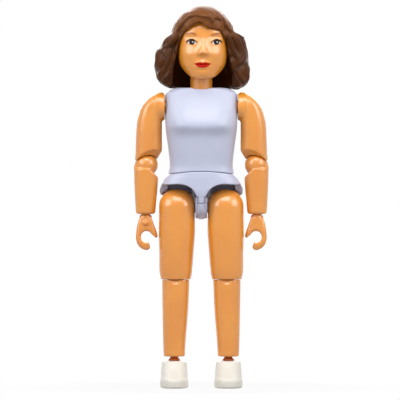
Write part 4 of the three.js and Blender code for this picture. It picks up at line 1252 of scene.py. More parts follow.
@dataclass
class Trunk:
    """Pelvis, torso and neck post."""

    leg: Leg
    seam: float = 0.12
    gap: float = 0.3
    pelvis_half: float = 11.85
    pelvis_front: float = 6.7
    pelvis_back: float = 7.5
    rim: float = 3.0
    widest: float = 4.9
    panel: float = 6.2
    hip_play: float = 0.45
    strap_half: float = 0.85
    keel_half: float = 1.7
    wall_half: float = 2.8
    keel_drop: float = 3.4
    crotch_seam: float = 1.1
    waist_half: float = 9.3
    waist_front: float = 6.4
    waist_back: float = 6.0
    dome: float = 36.0
    waist_drop: float = 0.38
    waist_gap: float = 0.12
    slim_half: float = 8.97
    chest_half: float = 10.36
    chest_front: float = 6.6
    chest_back: float = 6.8
    bust_rise: float = 13.3
    bust: float = 2.0
    shoulder: float = 18.8
    shoulder_peg: float = 1.8
    shoulder_room: float = 2.8
    shoulder_wall: float = 8.9
    torso_height: float = 24.1
    neckline_half: float = 7.4
    neckline_front: float = 4.0
    neckline_back: float = 4.7
    neck_half: float = 3.2
    neck_flange: float = 3.9
    neck_pivot: float = 2.0
    neck_dish: float = 4.4
    peg: float = 2.2
    peg_rise: float = 0.48
    flange: float = 3.4

    def __post_init__(self) -> None:
        """Finds its levels."""
        self.bench, self.hip = self.leg.bench, self.leg.hip[2]
        self.waist, self.neckline = (middle[2] for middle in self.bench.middles("waist_turn", "neck_turn"))

    def waist_surface(self, side: float) -> Form:
        """Everything above (1) or below (-1) the shallow dome that the torso turns on."""
        rim, square = self.waist - self.waist_drop, self.waist_half**2
        return Form(lambda x, y, z: self.waist_gap / 2 + side * (
            rim + (square - x * x - y * y) / (2 * self.dome) - z))

    def peg_room(self, low: float, high: float, under: float, over: float) -> Form:
        """Room for the waist peg between two levels, and for its flange between two others."""
        play = self.leg.play
        return upright(low, high, self.peg + play).join(upright(under, over, self.flange + play), SHARP)

    def openings(self) -> Form:
        """Leg openings in front, between the crotch strap and the sides.

        Returns:
            Both openings as one solid to cut with.
        """
        s, z = self.strap_half, self.hip
        edge = curve_through([
            (s - 0.1, z - 2.3), (s + 0.03, z + 0.75), (s + 0.45, z + 3.1), (s + 1.3, z + 4.7),
            (s + 2.2, z + 5.55), (s + 3.5, z + 6.25), (s + 5.4, z + 6.6), (s + 8.0, z + 6.5),
        ])
        arch = prism(Axis.Y, [*edge.tolist(), (FAR, z + 6.4), (FAR, 0), (s - 0.1, 0)], -FAR, self.gap)
        hollow = prism(Axis.Y, [
            (s + 1.9, z + 4), (s + 8.7, z + 4), (s + 8.7, z + 6.2), (s + 7.6, z + 7.2), (s + 4, z + 7.2),
            (s + 1.9, z + 5.7),
        ], -1, 4.2)
        return arch.join(hollow, SHARP).on_both_sides()

    def pelvis(self) -> tuple[Form, Form]:
        """Pelvis: a block with two leg pockets, a strap and a keel between the thighs.

        Returns:
            The front panel, and the back with the keel.
        """
        z, waist, half, drop = self.hip, self.waist, self.pelvis_half, self.keel_drop
        front, back, seam = self.pelvis_front, self.pelvis_back, self.seam / 2
        shell = loft([
            Section(z + self.rim, 0.96 * half, 0.97 * front, back),
            Section(z + self.widest, half, front, back),
            Section(z + self.panel, 0.965 * half, 0.99 * front, back),
            Section(0.45 * (z + self.panel) + 0.55 * waist, 0.54 * self.waist_half + 0.46 * half,
                    0.5 * (self.waist_front + front), 0.5 * (self.waist_back + back)),
            Section(waist, self.waist_half, self.waist_front, self.waist_back),
            Section(waist + 2, self.waist_half - 0.3, self.waist_front, self.waist_back),
        ], 0.5, power=2.5)
        pockets = self.leg.dome(self.hip_play).on_both_sides()
        side = curve_through([
            (-0.97 * front, z + self.widest), (-0.965 * front, z + 0.6 * self.widest),
            (-0.92 * front, z + self.crotch_seam), (-0.7 * front, z - 0.55 * drop), (0, z - drop),
            (0.68 * back, z - 0.55 * drop), (0.88 * back, z + self.crotch_seam), (0.95 * back, z + self.rim),
            (0.93 * back, z + self.widest),
        ]).tolist()
        strap = prism(Axis.X, side, -self.strap_half, self.strap_half, 0.5)
        keel = prism(Axis.X, [(0.6 * y, max(min(level, z + self.rim), z - 0.92 * drop)) for y, level in side],
                     -self.keel_half, self.keel_half, 0.5) - pockets
        for start, end, low, high, share in ((0.5, 0.8, 1.9, 3.5, 1.0), (3.0, 0.66, -0.4, 2.2, 0.7)):
            wall = [(start, z + low), (end * back, z + low), (end * back, z + high), (start, z + high)]
            wide = share * self.wall_half
            keel = keel.join(prism(Axis.X, wall, -wide, wide) - pockets, SHARP)
        block = (shell - pockets - self.openings()).join(strap, 0.3)
        over = half_space((0, 0, z + self.crotch_seam + seam), (0, 0, -1))
        panel = block.keep(half_space((0, -seam, 0), (0, 1, 0)), CRISP).keep(over, CRISP)
        ahead = half_space((0, seam, 0), (0, 1, 0)).keep(over.grown(self.seam), SHARP)
        rear = block.cut(ahead, CRISP).join(keel.cut(panel.grown(0.03), SHARP), CRISP)
        axle = cross_bar(-FAR, FAR, z, self.leg.axle + self.leg.play)
        top = waist + self.peg_rise
        seat = self.peg_room(top - 4, top + 2, top - 2.75, top - 1.25)
        below = self.waist_surface(-1)
        return tuple(half.keep(below, 0.2) - axle - seat for half in (panel, rear))

    def torso(self) -> Form:
        """Whole torso with its shoulder, neck and waist holes.

        Returns:
            The solid.
        """
        waist, tall, slim, chest = self.waist, self.torso_height, self.slim_half, self.chest_half
        top, drop, line = waist + tall, tall - self.shoulder, waist + self.bust_rise
        wf, cf, nf = self.waist_front, self.chest_front, self.neckline_front
        wb, cb, nb = self.waist_back, self.chest_back, self.neckline_back
        levels = [
            (-0.6, self.waist_half + 0.2, wf, wb),
            (0.15 * self.bust_rise, slim, 0.97 * wf, 0.97 * wb),
            (0.5 * self.bust_rise, 0.7 * slim + 0.3 * chest, wf, 0.8 * wb + 0.2 * cb),
            (self.bust_rise, 0.985 * chest, cf, cb),
            (self.shoulder, chest, 0.4 * nf + 0.6 * cf, 0.98 * cb),
            (tall - 0.34 * drop, 0.99 * chest, 0.75 * nf + 0.25 * cf, 0.6 * cb + 0.4 * nb),
            (tall - 0.08 * drop, 0.6 * self.neckline_half + 0.4 * chest, 1.07 * nf, 1.07 * nb),
            (tall, self.neckline_half, nf, nb),
        ]
        shell = loft([Section(waist + z, *sizes) for z, *sizes in levels], 0.25, power=2.6)
        shell = shell.drawn_forward(swells([
            Swell(0.8 * self.bust, 0, line, 10.5, 4.6, 2.2),
            *twin(0.32 * self.bust, -5.9, 5.9, line + 0.2, 3.1, 4.2, 2.0),
            Swell(0.55, 0, waist + 9.0, 9.0, 4.0, 5.0),
        ])).keep(self.waist_surface(1), 0.15).cut(upright(top - 0.35, top + 2, self.neck_dish), 0.3)
        play, z = self.leg.play, waist + self.shoulder
        neck_hole = upright(top - 3.2, top + 2, self.neck_half + play)
        neck_seat = upright(top - 4.3, top - 1.4, self.neck_flange + play)
        room = cross_bar(-self.shoulder_wall, self.shoulder_wall, z, self.shoulder_room)
        pegs = cross_bar(-FAR, FAR, z, self.shoulder_peg + play).join(room, SHARP)
        seat = self.peg_room(waist - 2, waist + 3.9, waist + 2.3, waist + 4)
        return shell - neck_hole - neck_seat - pegs - seat

    def neck(self) -> Form:
        """Neck post: a flange under the shoulders, the neck and a pivot inside the head.

        Returns:
            The solid.
        """
        half, flange, pivot, z = self.neck_half, self.neck_flange, self.neck_pivot, self.neckline
        return lathe([
            (flange, z - 2.7), (flange, z - 1.55), (half - 0.06, z - 1.5), (half - 0.08, z + 0.6),
            (half, z + 4.1), (pivot, z + 4.1), (pivot, z + 9.7), (pivot - 0.4, z + 10.1),
        ])

    def build(self) -> None:
        """Makes both pelvis halves, both torso halves and the neck post."""
        bench, finishes, seam = self.bench, self.bench.finishes, self.seam / 2
        torso, (panel, rear) = self.torso(), self.pelvis()
        ahead, behind = half_space((0, -seam, 0), (0, 1, 0)), half_space((0, seam, 0), (0, -1, 0))
        bench.add(panel, "pelvis_front", finishes.lavender, pitch=0.18)
        bench.add(rear, "pelvis_back", finishes.lavender, pitch=0.2)
        bench.add(torso.keep(ahead, CRISP), "torso_front", finishes.lavender, pitch=0.22)
        bench.add(torso.keep(behind, CRISP), "torso_back", finishes.lavender, pitch=0.24)
        bench.add(self.neck(), "neck_post", finishes.flesh, pitch=0.2)
        for node in ("hip_axle", "waist_peg"):
            bench.dress(node, finishes.pin)


@dataclass
class Head:
    """Head with its moulded face.

    Attributes:
        levels: Share of the height, then factors of the half width, front and back.
        features: Nose, nostrils, eye sockets, lids, brows, cheeks, lips and chin.
    """

    bench: Bench
    chin: float = 87.75
    height: float = 19.75
    middle: float = 0.42
    half: float = 7.35
    front: float = 7.9
    back: float = 6.6
    neck_hole: float = 3.5
    pivot_hole: float = 2.12
    levels: tuple[tuple[float, float, float, float], ...] = (
        (0, 0.2, 0.78, -0.66), (0.03, 0.44, 0.86, -0.3), (0.075, 0.6, 0.92, 0.25), (0.13, 0.74, 0.965, 0.6),
        (0.22, 0.9, 1, 0.8), (0.36, 0.98, 1, 0.92), (0.54, 1, 0.985, 1), (0.72, 0.97, 0.93, 1.01),
        (0.87, 0.82, 0.77, 0.9), (0.96, 0.58, 0.56, 0.66), (1, 0.2, 0.2, 0.3),
    )
    features: tuple[Swell, ...] = (
        Swell(1.2, 0.6, 95.2, 1.3, 1.5, 0.65), Swell(0.6, 0.65, 97.4, 1.15, 1.8, 1.6),
        *twin(0.36, -0.6, 1.8, 94.8, 0.6, 0.6), Swell(0.25, -0.4, 95.6, 1.1, 1.4, 0.8),
        *twin(-0.3, -2.7, 4.3, 99.5, 1.8, 0.9, 0.8), *twin(0.2, -2.7, 4.3, 98.2, 1.5, 0.9),
        *twin(0.22, -2.9, 4.3, 101.0, 2.2, 1.0), *twin(0.48, -3.6, 4.5, 94.9, 3.7, 2.1, 2.0),
        Swell(0.55, 0.3, 92.3, 1.7, 0.9, 0.4), Swell(0.42, 0.3, 91.3, 1.4, 0.5),
        Swell(-0.28, 0.3, 91.8, 1.9, 0.17), Swell(-0.14, 0.35, 93.4, 0.38, 0.6),
        Swell(-0.12, 0.35, 90.3, 1.9, 0.4), Swell(0.18, 0.4, 89.2, 1.7, 1.0),
    )

    def form(self) -> Form:
        """Skull and face, without the socket for the neck.

        Returns:
            The solid.
        """
        sections = []
        for share, half, front, back in self.levels:
            reach, rear = self.front * front, self.back * back
            sections.append(Section(self.chin + share * self.height, self.half * half, (reach + rear) / 2,
                                    y=(rear - reach) / 2))
        return loft(sections, 0.3, self.middle, 2.2).drawn_forward(swells(self.features))

    def build(self) -> None:
        """Makes the head."""
        z = self.bench.middles("neck_turn")[0][2]
        head = self.form() - upright(z - 3, z + 4.4, self.neck_hole) - upright(z, z + 10.4, self.pivot_hole)
        self.bench.add(head, "head", self.bench.finishes.face, pitch=0.15)


@dataclass
class Hair:
    """Moulded hair: a smooth crown with a parting over two tiers of wavy curls.

    Attributes:
        levels: Level, half widths towards -X and +X, front and back.
        window: Opening round the face, in (x, z).
        band: Sunk band between the edge of the cap and the face, in (x, z).
        band_levels: Levels between which the band comes in.
        curl_levels: Levels between which the curls flatten out.
        crown_levels: Levels between which the strands end on top.
        strands: Waves to the radian and share of the sway, of the broad strands and the fine ones.
        shoulders: Room for the shoulders as the head turns, as (radius, height).
        locks: Locks on the front: points in (x, z) and a radius.
    """

    head: Head
    power: float = 2.2
    levels: tuple[tuple[float, float, float, float, float], ...] = (
        (85.2, 8.6, 11.0, 2.6, 7.2), (85.8, 10.0, 12.1, 4.0, 8.5), (86.8, 11.5, 12.9, 4.7, 9.3),
        (88.7, 12.8, 13.6, 5.4, 9.9), (91.4, 13.1, 13.6, 5.8, 10.1), (94.1, 13.0, 13.3, 6.0, 10.1),
        (96.1, 12.4, 12.9, 6.2, 10.0), (97.1, 11.4, 12.6, 6.5, 10.0), (98.3, 11.0, 12.4, 7.0, 9.9),
        (99.4, 10.4, 12.0, 7.5, 9.8), (100.35, 9.4, 11.2, 7.95, 9.7), (100.95, 8.7, 9.9, 8.3, 9.65),
        (101.8, 8.4, 9.35, 8.7, 9.5), (103.5, 7.7, 8.7, 9.0, 9.2), (105.4, 6.4, 7.3, 8.95, 8.3),
        (106.6, 5.4, 6.3, 8.1, 7.5), (107.5, 3.8, 5.3, 6.8, 6.4), (108.3, 2.6, 4.1, 5.0, 5.0),
        (108.8, 1.1, 2.8, 3.0, 3.2), (109.0, 0.4, 1.5, 1.4, 1.4),
    )
    window: tuple[Flat, ...] = (
        (-0.6, 103.85), (-2.66, 102.8), (-4.33, 101.4), (-5.2, 100.25), (-5.85, 98.9), (-6.5, 97.0),
        (-6.9, 94.9), (-7.6, 92.6), (-8.0, 90.4), (-8.1, 87.0), (-8.1, 83.0), (9.6, 83.0), (9.5, 88.0),
        (8.6, 91.0), (7.95, 93.6), (7.6, 95.2), (7.35, 96.9), (6.9, 98.6), (6.3, 99.9), (5.65, 101.0),
        (4.45, 101.75), (2.2, 102.0), (0.7, 102.9),
    )
    band: tuple[Flat, ...] = (
        (-8.1, 95.0), (-8.3, 97.2), (-7.6, 98.7), (-7.1, 100.2), (-6.0, 102.4), (-4.76, 103.85),
        (-3.7, 104.85), (-2.45, 105.5), (-1.0, 105.6), (0.7, 105.15), (2.1, 104.95), (2.6, 104.3),
        (3.1, 103.5), (3.45, 104.2), (3.85, 104.95), (4.7, 104.6), (5.6, 104.2), (5.9, 105.0), (6.5, 104.1),
        (7.15, 102.6), (8.1, 101.3), (8.9, 100.2), (8.6, 98.6), (8.5, 95.0),
    )
    band_depth: float = 0.5
    band_edge: float = 0.16
    band_levels: Flat = (94.5, 98.5)
    curl_levels: Flat = (96.0, 106.5)
    crown_levels: Flat = (108.9, 107.0)
    strands: tuple[Flat, Flat] = ((6.5, 1.0), (17.0, 2.1))
    shoulders: tuple[Flat, ...] = (
        (10.7, 80), (10.7, 83.7), (9.8, 84.6), (9.0, 85.15), (7.6, 85.55), (0.05, 85.55),
    )
    locks: tuple[tuple[tuple[Flat, ...], float], ...] = (
        (((6.2, 105.0), (7.0, 103.4), (8.0, 101.9), (9.3, 100.7), (10.6, 100.1), (12.0, 99.6)), 0.55),
        (((2.0, 106.0), (2.5, 105.2), (3.1, 104.0)), 0.5),
        (((3.8, 106.0), (4.7, 105.2), (5.5, 104.5)), 0.5),
        (((-3.0, 105.8), (-4.8, 104.4), (-6.2, 102.7), (-7.2, 100.8), (-7.5, 99.3)), 0.4),
        (((-7.2, 100.6), (-7.7, 99.2), (-8.4, 98.0), (-9.4, 97.2), (-10.6, 96.9)), 0.8),
        (((8.0, 99.4), (8.6, 97.0), (9.6, 94.8), (10.6, 92.4)), 0.7),
        (((-8.6, 96.2), (-8.9, 94.0), (-9.8, 91.6), (-10.6, 89.4)), 0.7),
        (((-9.0, 89.6), (-10.0, 88.2), (-11.2, 87.4)), 0.8),
        (((10.2, 90.0), (11.0, 88.4), (12.0, 87.6)), 0.8),
    )
    lock_sink: float = 0.2
    head_play: float = 0.12

    def fringe(self, x: Array, y: Array, z: Array) -> Array:
        """Relief of the sunk band between the edge of the cap and the face."""
        inside = smooth_step(outline_distance(x, z, np.array(self.band)), self.band_edge, -self.band_edge)
        return np.where(y < 0, -self.band_depth * (inside * smooth_step(z, *self.band_levels)), 0)

    def waves(self, x: Array, y: Array, z: Array) -> Array:
        """Relief of the wavy strands, faint on the crown and strong on the curls.

        Args:
            x: Place sideways.
            y: Place front to back.
            z: Place upwards.

        Returns:
            The relief's height.
        """
        turn = np.arctan2(x, y)
        sway = 1.1 * np.sin(0.62 * z + 1.3 * np.sin(2 * turn)) + 0.5 * np.sin(0.27 * z + 3 * turn)
        low = 1 - smooth_step(z, *self.curl_levels)
        broad, fine = (np.abs(np.cos(count * turn + bend * sway)) - 0.64 for count, bend in self.strands)
        end = smooth_step(z, *self.crown_levels)
        return end * ((0.12 + 0.6 * low) * broad + (0.05 + 0.14 * low) * fine)

    def front_of(self, x: float, z: float) -> float:
        """Depth of the outer shape's front.

        Args:
            x: Place sideways.
            z: Place upwards.

        Returns:
            Its y.
        """
        level, *sizes = np.array(self.levels).T[:4]
        left, right, front = (float(key_curve(level, size, np.array([z]))[0]) for size in sizes)
        share = min(abs(x) / (left if x < 0 else right), 0.99)
        return -front * (1 - share**self.power) ** (1 / self.power)

    def lock(self, line: Sequence[Flat], radius: float) -> Form:
        """Lock along a line of (x, z) points that lies on the front of the hair."""
        points = [(x, self.front_of(x, z) + self.lock_sink * radius, z) for x, z in line]
        return strand(points, [0.75 * radius, *[radius] * (len(line) - 2), 0.55 * radius])

    def form(self) -> Form:
        """Whole hair, opened round the face, the neck and the shoulders.

        Returns:
            The solid.
        """
        sections = [Section(z, right, front, back, left) for z, left, right, front, back in self.levels]
        mass = loft(sections, 0.5, power=self.power).raised(self.waves).raised(self.fringe)
        for line, radius in self.locks:
            mass = mass.join(self.lock(line, radius), 0.2)
        opening = prism(Axis.Y, curve_through(self.window, 4, closed=True).tolist(), -FAR, -0.8)
        nape = loft([
            Section(82, 8.6, 12, 5.4, 7.9, power=2.6), Section(89, 8.6, 12, 5.6, 8.0, power=2.6),
            Section(93, 7.2, 10, 5.2, 7.0, power=2.4), Section(96, 5.0, 6.0, 4.0, 5.0, power=2.2),
        ], 1.0)
        hair = mass.cut(opening, 0.5).cut(nape, 0.6).cut(lathe(self.shoulders), CRISP)
        return hair.cut(self.head.form().grown(self.head_play), 0.05)

    def build(self) -> None:
        """Makes the hair."""
        bench = self.head.bench
        bench.add(self.form(), "hair", bench.finishes.hair, pitch=0.18)


@dataclass
class Arm:
    """Upper arm, elbow pin and forearm, drawn for the left arm. Angles are degrees."""

    bench: Bench
    gap: float = 0.3
    play: float = 0.12
    boss: float = 3.8
    boss_height: float = 0.6
    shoulder_peg: float = 1.8
    peg_head: float = 2.5
    half: float = 3.75
    depth: float = 3.75
    rim: float = 1.2
    rim_in: float = 0.35
    ball: float = 3.3
    slant: float = 47.0
    inward: float = 6.0
    crook_inward: float = 20.0
    disc: float = 2.3
    tongue: float = 1.8
    web: float = 1.0
    web_angle: float = 138.0
    fold: float = 55.0
    pin: float = 0.6
    forearm_half: float = 3.58
    forearm_depth: float = 3.45
    top_drop: float = 1.0
    top_slope: float = 38.0
    top_pitch: float = 4.0
    rim_drop: float = 0.4
    rim_pitch: float = 16.0
    corner: float = 58.0
    corner_in: float = 2.0
    wrist_half: float = 2.82
    wrist_depth: float = 2.7
    wrist_edge: float = 0.8
    wrist_peg: float = 1.3

    def __post_init__(self) -> None:
        """Finds its joints."""
        joints = ("shoulder_swing_left", "elbow_bend_left", "wrist_turn_left")
        self.shoulder, self.elbow, self.wrist = self.bench.middles(*joints)

    def hinge(self, out: float) -> Point:
        """Point on the elbow's hinge axis, some way out from its middle."""
        (x, y, z), angle = self.elbow, math.radians(self.inward)
        return x + out * math.cos(angle), y - out * math.sin(angle), z

    def around(self, degrees: float, radius: float) -> Point:
        """Point round the hinge axis.

        Args:
            degrees: Angle from the crook, over the top.
            radius: Distance from the axis.

        Returns:
            The point.
        """
        (x, y, z), angle, turn = self.elbow, math.radians(degrees), math.radians(self.inward)
        ahead = -radius * math.cos(angle)
        return x + ahead * math.sin(turn), y + ahead * math.cos(turn), z + radius * math.sin(angle)

    def axle(self, start: float, end: float, radius: float) -> Form:
        """Bar along the hinge axis."""
        return rod(self.hinge(start), self.hinge(end), radius)

    def plate(self, half: float) -> Form:
        """Everything within half a thickness of the plane that the elbow folds in."""
        x, y = math.cos(math.radians(self.inward)), -math.sin(math.radians(self.inward))
        return half_space(self.hinge(half), (x, y, 0)).keep(half_space(self.hinge(-half), (-x, -y, 0)), SHARP)

    def upper(self) -> Form:
        """Upper arm: boss and peg, a swelling arm, a cup for the ball and its tongue.

        Returns:
            The solid.
        """
        (x, _, z), (ex, _, ez) = self.shoulder, self.elbow
        length, inner, half, deep, boss = z - ez, self.boss_height, self.half, self.depth, self.boss
        rows = ((-0.79 * length, 1.01, deep), (-0.445 * length, 0.985, deep), (-0.28 * length, 0.955, deep),
                (-0.133 * length, 0.885, boss), (0, 0.775, boss), (0.42 * boss, 0.62, 0.91 * boss),
                (0.82 * boss, 0.41, 0.57 * boss), (1.04 * boss, 0.19, 0.18 * boss))
        arm = loft([
            Section(ez + self.rim, 0.98 * half, 0.97 * deep, x=ex - self.rim_in),
            *[Section(z + up, share * half, reach, x=x + inner + share * half) for up, share, reach in rows],
        ], CRISP)
        peg_head = cross_bar(x - 3.1, x - 1.95, z, self.peg_head)
        peg = cross_bar(x - 2.6, x + 1, z, self.shoulder_peg) | peg_head
        slant, turn, tilt = (math.radians(angle) for angle in (self.slant, self.crook_inward, self.corner))
        ax, ay = -math.sin(turn), -math.cos(turn)
        under = half_space(self.elbow, (-ax * math.sin(slant), -ay * math.sin(slant), math.cos(slant)))
        bevel = under.keep(half_space(self.elbow, (-ax, -ay, 0)), SHARP)
        corner = half_space((ex - self.corner_in, 0, ez), (math.sin(tilt), 0, math.cos(tilt)))
        sleeve = arm.join(cross_bar(x - 0.15, x + inner + 1.7, z, boss, 0.25), 0.9)
        cup, thick = self.ball + self.gap, self.tongue / 2
        sleeve = sleeve.cut(ball(self.elbow, cup), CRISP).cut(bevel, 0.12).cut(corner, 0.15)
        web = rod(self.elbow, self.around(self.web_angle, cup + 0.9), self.web).keep(self.plate(thick))
        tongue = self.axle(-thick, thick, self.disc) | web
        return (sleeve.join(peg, SHARP) | tongue) - self.axle(-3, 3, self.pin + self.play)

    def elbow_pin(self) -> Form:
        """Hinge pin of the elbow with a shallow dished end."""
        pin = self.axle(0.3 - self.ball, self.ball - 0.7, self.pin)
        return pin - ball(self.hinge(0.05 - self.ball), 0.45)

    def forearm(self) -> Form:
        """Slotted ball on a tapering arm with a slanted top and a wrist socket.

        Returns:
            The solid.
        """
        (ex, ey, ez), (wx, _, low) = self.elbow, self.wrist
        out, length = wx - ex, ez - low
        arm = loft([
            Section(low, self.wrist_half - 0.05, self.wrist_depth - 0.05, x=wx),
            Section(low + self.wrist_edge, self.wrist_half, self.wrist_depth, x=wx),
            Section(ez - 0.35 * length, 0.75 * self.forearm_half + 0.25 * self.wrist_half,
                    0.75 * self.forearm_depth + 0.25 * self.wrist_depth, x=ex + 0.35 * out),
            Section(ez + self.rim, self.forearm_half, self.forearm_depth, x=ex),
        ], 0.9)
        slope, pitch, lean = (math.radians(a) for a in (self.top_slope, self.top_pitch, self.rim_pitch))
        normal = (-math.sin(slope) * math.cos(pitch), math.sin(pitch), math.cos(slope) * math.cos(pitch))
        rim = half_space((ex, 0, ez - self.rim_drop), (0, -math.sin(lean), math.cos(lean)))
        arm = arm.keep(half_space((ex, 0, ez - self.top_drop), normal), 0.3).keep(rim, 0.3)
        wide = math.degrees(math.asin(self.web / (self.disc + self.gap))) + 4
        angles = np.linspace(self.web_angle - self.fold - wide, self.web_angle + wide, 7)
        fan = [(ey, ez), *[self.around(angle, 2 * self.ball)[1:] for angle in angles]]
        room = prism(Axis.X, fan, ex - FAR, ex + FAR)
        slot = self.axle(-FAR, FAR, self.disc + self.gap).join(room, SHARP).keep(
            self.plate(self.tongue / 2 + self.gap), SHARP)
        hole = self.axle(-FAR, self.ball - 0.6, self.pin + self.play)
        socket = upright(low - 2, low + 4.8, self.wrist_peg + self.play, wx)
        return arm.join(ball(self.elbow, self.ball), 0.7) - slot - hole - socket

    def build(self) -> None:
        """Makes both arms down to the wrists."""
        finishes = self.bench.finishes
        self.bench.add_pair(self.upper(), "upper_arm", finishes.flesh, pitch=0.19)
        self.bench.add_pair(self.elbow_pin(), "elbow_pin", finishes.pin, pitch=0.1)
        self.bench.add_pair(self.forearm(), "forearm", finishes.flesh, pitch=0.19)


@dataclass
class Hand:
    """Hand whose fingers and thumb curl into an open ring, drawn for the left wrist.

    Attributes:
        fingers: Outer edge as (degrees round the grip, share of a finger's thickness).
        thumb: Outer edge of the thumb in the same way.
    """

    bench: Bench
    thickness: float = 4.0
    half: float = 3.5
    middle: float = -0.27
    length: float = 10.5
    top: float = 0.9
    neck: float = 1.75
    peg: float = 1.3
    finger: float = 1.8
    grip: float = 1.6
    grip_drop: float = 6.45
    grip_in: float = 0.26
    knuckle: float = 0.85
    knuckle_drop: float = 2.5
    fingers: tuple[Flat, ...] = (
        (57, 1.67), (30, 0.97), (-10, 0.82), (-43, 0.98), (-66, 1.12), (-88, 1.25), (-102, 1.1), (-110, 0.73),
        (-110, 0.1),
    )
    thumb: tuple[Flat, ...] = (
        (150, 0.0), (172, 0.2), (186, 0.61), (181, 0.84), (170, 0.88), (146, 0.95), (122, 1.37),
    )

    def __post_init__(self) -> None:
        """Finds its wrist."""
        self.wrist = self.bench.middles("wrist_turn_left")[0]

    def around(self, degrees: float, share: float) -> Flat:
        """Point in (x, z) at an angle round the grip, outside it by a share of a finger."""
        radius, angle = self.grip + share * self.finger, math.radians(degrees)
        return (self.wrist[0] - self.grip_in + radius * math.cos(angle),
                self.wrist[2] - self.grip_drop + radius * math.sin(angle))

    def form(self) -> Form:
        """Palm, ring and wrist neck with a knuckle and a thumb crease.

        Returns:
            The solid.
        """
        (x, _, z), half, wide = self.wrist, self.thickness / 2, 0.95 * self.neck
        finger = curve_through([(x + wide, z - self.top), *[self.around(*spot) for spot in self.fingers]], 5)
        ring = [self.around(degrees, 0) for degrees in np.linspace(-112, 148, 27)]
        thumb = curve_through([*[self.around(*spot) for spot in self.thumb], (x - wide, z - self.top)], 5)
        plate = prism(Axis.Y, [*finger.tolist(), *ring, *thumb.tolist()], -half, half, 1.1)
        levels = ((z - self.length, 0.7), (z - self.grip_drop, 1.0), (z, 0.85))
        loaf = loft([Section(level, self.half, share * half) for level, share in levels],
                    middle=x + self.middle, power=3)
        neck, peg = upright(z - 2.4, z - 0.3, self.neck, x), upright(z - 2, z + 4.5, self.peg, x)
        knuckle = ball((x, half - 0.4, z - self.knuckle_drop), self.knuckle)
        bends = ((150, 1.0), (118, 0.75), (92, 1.05))
        crease = strand([(*self.around(*spot), 0) for spot in bends], [0.2, 0.2, 0.12])
        line = Form(lambda px, py, pz: crease.distance(px, pz, np.zeros_like(pz)) + np.abs(py + half) * 0.6)
        palm = plate.keep(loaf, 0.5).cut(line, 0.25)
        return palm.join(neck, 0.3).join(knuckle, 0.3).join(peg, SHARP)

    def build(self) -> None:
        """Makes both hands out of one moulding, turned half round for the other side."""
        self.bench.add_pair(self.form(), "hand", self.bench.finishes.flesh, pitch=0.14, other=Other.HALF_TURN)


@dataclass
class Softbox:
    """Square studio lamp.

    Attributes:
        name: Name of the lamp.
        place: Where it stands.
        size: Side of its face.
        watts: Its power.
        aim: Point that it faces.
    """

    name: str
    place: Point
    size: float
    watts: float
    aim: Point = (0.0, 0.0, 60.0)

    def build(self) -> None:
        """Hangs the lamp."""
        data = bpy.data.lights.new(self.name, "AREA")
        data.shape = "SQUARE"
        data.size = self.size * MM
        data.energy = self.watts
        lamp = put(self.name, data)
        lamp.location = Vector(self.place) * MM
        way = Vector(self.aim) - Vector(self.place)
        lamp.rotation_euler = way.to_track_quat("-Z", "Y").to_euler()


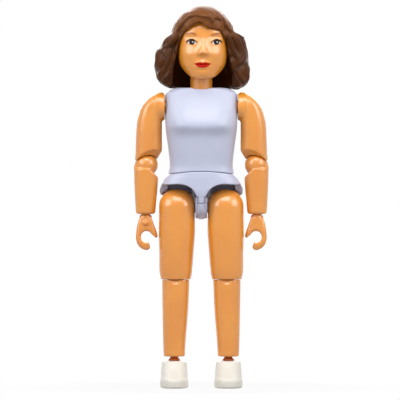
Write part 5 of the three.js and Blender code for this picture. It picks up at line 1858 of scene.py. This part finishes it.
@dataclass
class Studio:
    """Camera, lamps, white floor and white surroundings."""

    eye: Point = (-0.37, -1500.0, 53.42)
    view_width: float = 114.0
    clip: Flat = (0.01, 20.0)
    ambient: float = 0.19
    white: Colour = (1.0, 1.0, 1.0, 1.0)
    floor_colour: Colour = (0.45, 0.45, 0.45, 1.0)
    floor_half: float = 1500.0
    shadow: float = 0.07
    shadow_reach: Flat = (25.0, 70.0)
    lamps: tuple[Softbox, ...] = field(default_factory=lambda: (
        Softbox("left_softbox", (-430.0, -290.0, 330.0), 400.0, 2.0),
        Softbox("right_softbox", (430.0, -290.0, 330.0), 400.0, 2.0),
        Softbox("top_softbox", (0.0, -300.0, 560.0), 360.0, 2.0),
        Softbox("back_softbox", (0.0, 480.0, 300.0), 400.0, 1.7),
    ))

    def camera(self) -> None:
        """Sets the camera in front of the figure, as the photograph was taken."""
        data = bpy.data.cameras.new("studio_camera")
        data.sensor_fit = "HORIZONTAL"
        data.angle = 2 * math.atan(self.view_width / 2 / -self.eye[1])
        data.clip_start, data.clip_end = self.clip
        camera = put("studio_camera", data)
        camera.location = Vector(self.eye) * MM
        camera.rotation_euler = (math.pi / 2, 0, 0)
        bpy.context.scene.camera = camera

    def floor(self) -> None:
        """Lays a white floor that keeps a faint shadow close to the shoes."""
        sheet = Sheet.of_material("white_floor")
        x, y, _ = sheet.place()
        away = (x * x + y * y).root().step(*self.shadow_reach)
        lit = sheet.wire("ShaderNodeBsdfDiffuse", sockets={"Color": self.floor_colour})
        white = sheet.wire("ShaderNodeEmission", sockets={"Color": self.white, "Strength": 1.0})
        share = sheet.seen() * (1 - self.shadow + self.shadow * away)
        material = sheet.close(sheet.wire("ShaderNodeMixShader", sockets={0: share, 1: lit, 2: white}))
        side = self.floor_half * MM
        corners = [(-side, -side, 0), (side, -side, 0), (side, side, 0), (-side, side, 0)]
        floor = put_mesh("floor", corners, [(0, 1, 2, 3)], material)
        floor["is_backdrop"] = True

    def surroundings(self) -> None:
        """Makes the world white to the camera and softly bright to the figure."""
        sheet = Sheet(bpy.data.worlds.new("white_room"))
        dim, bright = (sheet.wire("ShaderNodeBackground", sockets={"Color": self.white, "Strength": strength})
                       for strength in (self.ambient, 1.0))
        shader = sheet.wire("ShaderNodeMixShader", sockets={0: sheet.seen(), 1: dim, 2: bright})
        bpy.context.scene.world = sheet.close(shader)

    def build(self) -> None:
        """Sets up the whole studio."""
        bpy.context.scene.view_settings.view_transform = "Standard"
        self.camera()
        self.surroundings()
        self.floor()
        for lamp in self.lamps:
            lamp.build()


def main() -> None:
    """Builds the figure from the floor up, then the studio round it."""
    logging.basicConfig(level=logging.INFO, format="%(name)s %(message)s")
    bench = Bench()
    leg, head = Leg(bench), Head(bench)
    for assembly in (leg, Shoe(bench), Trunk(leg), Arm(bench), Hand(bench), head, Hair(head)):
        assembly.build()
    Studio().build()


if __name__ == "__main__":
    main()
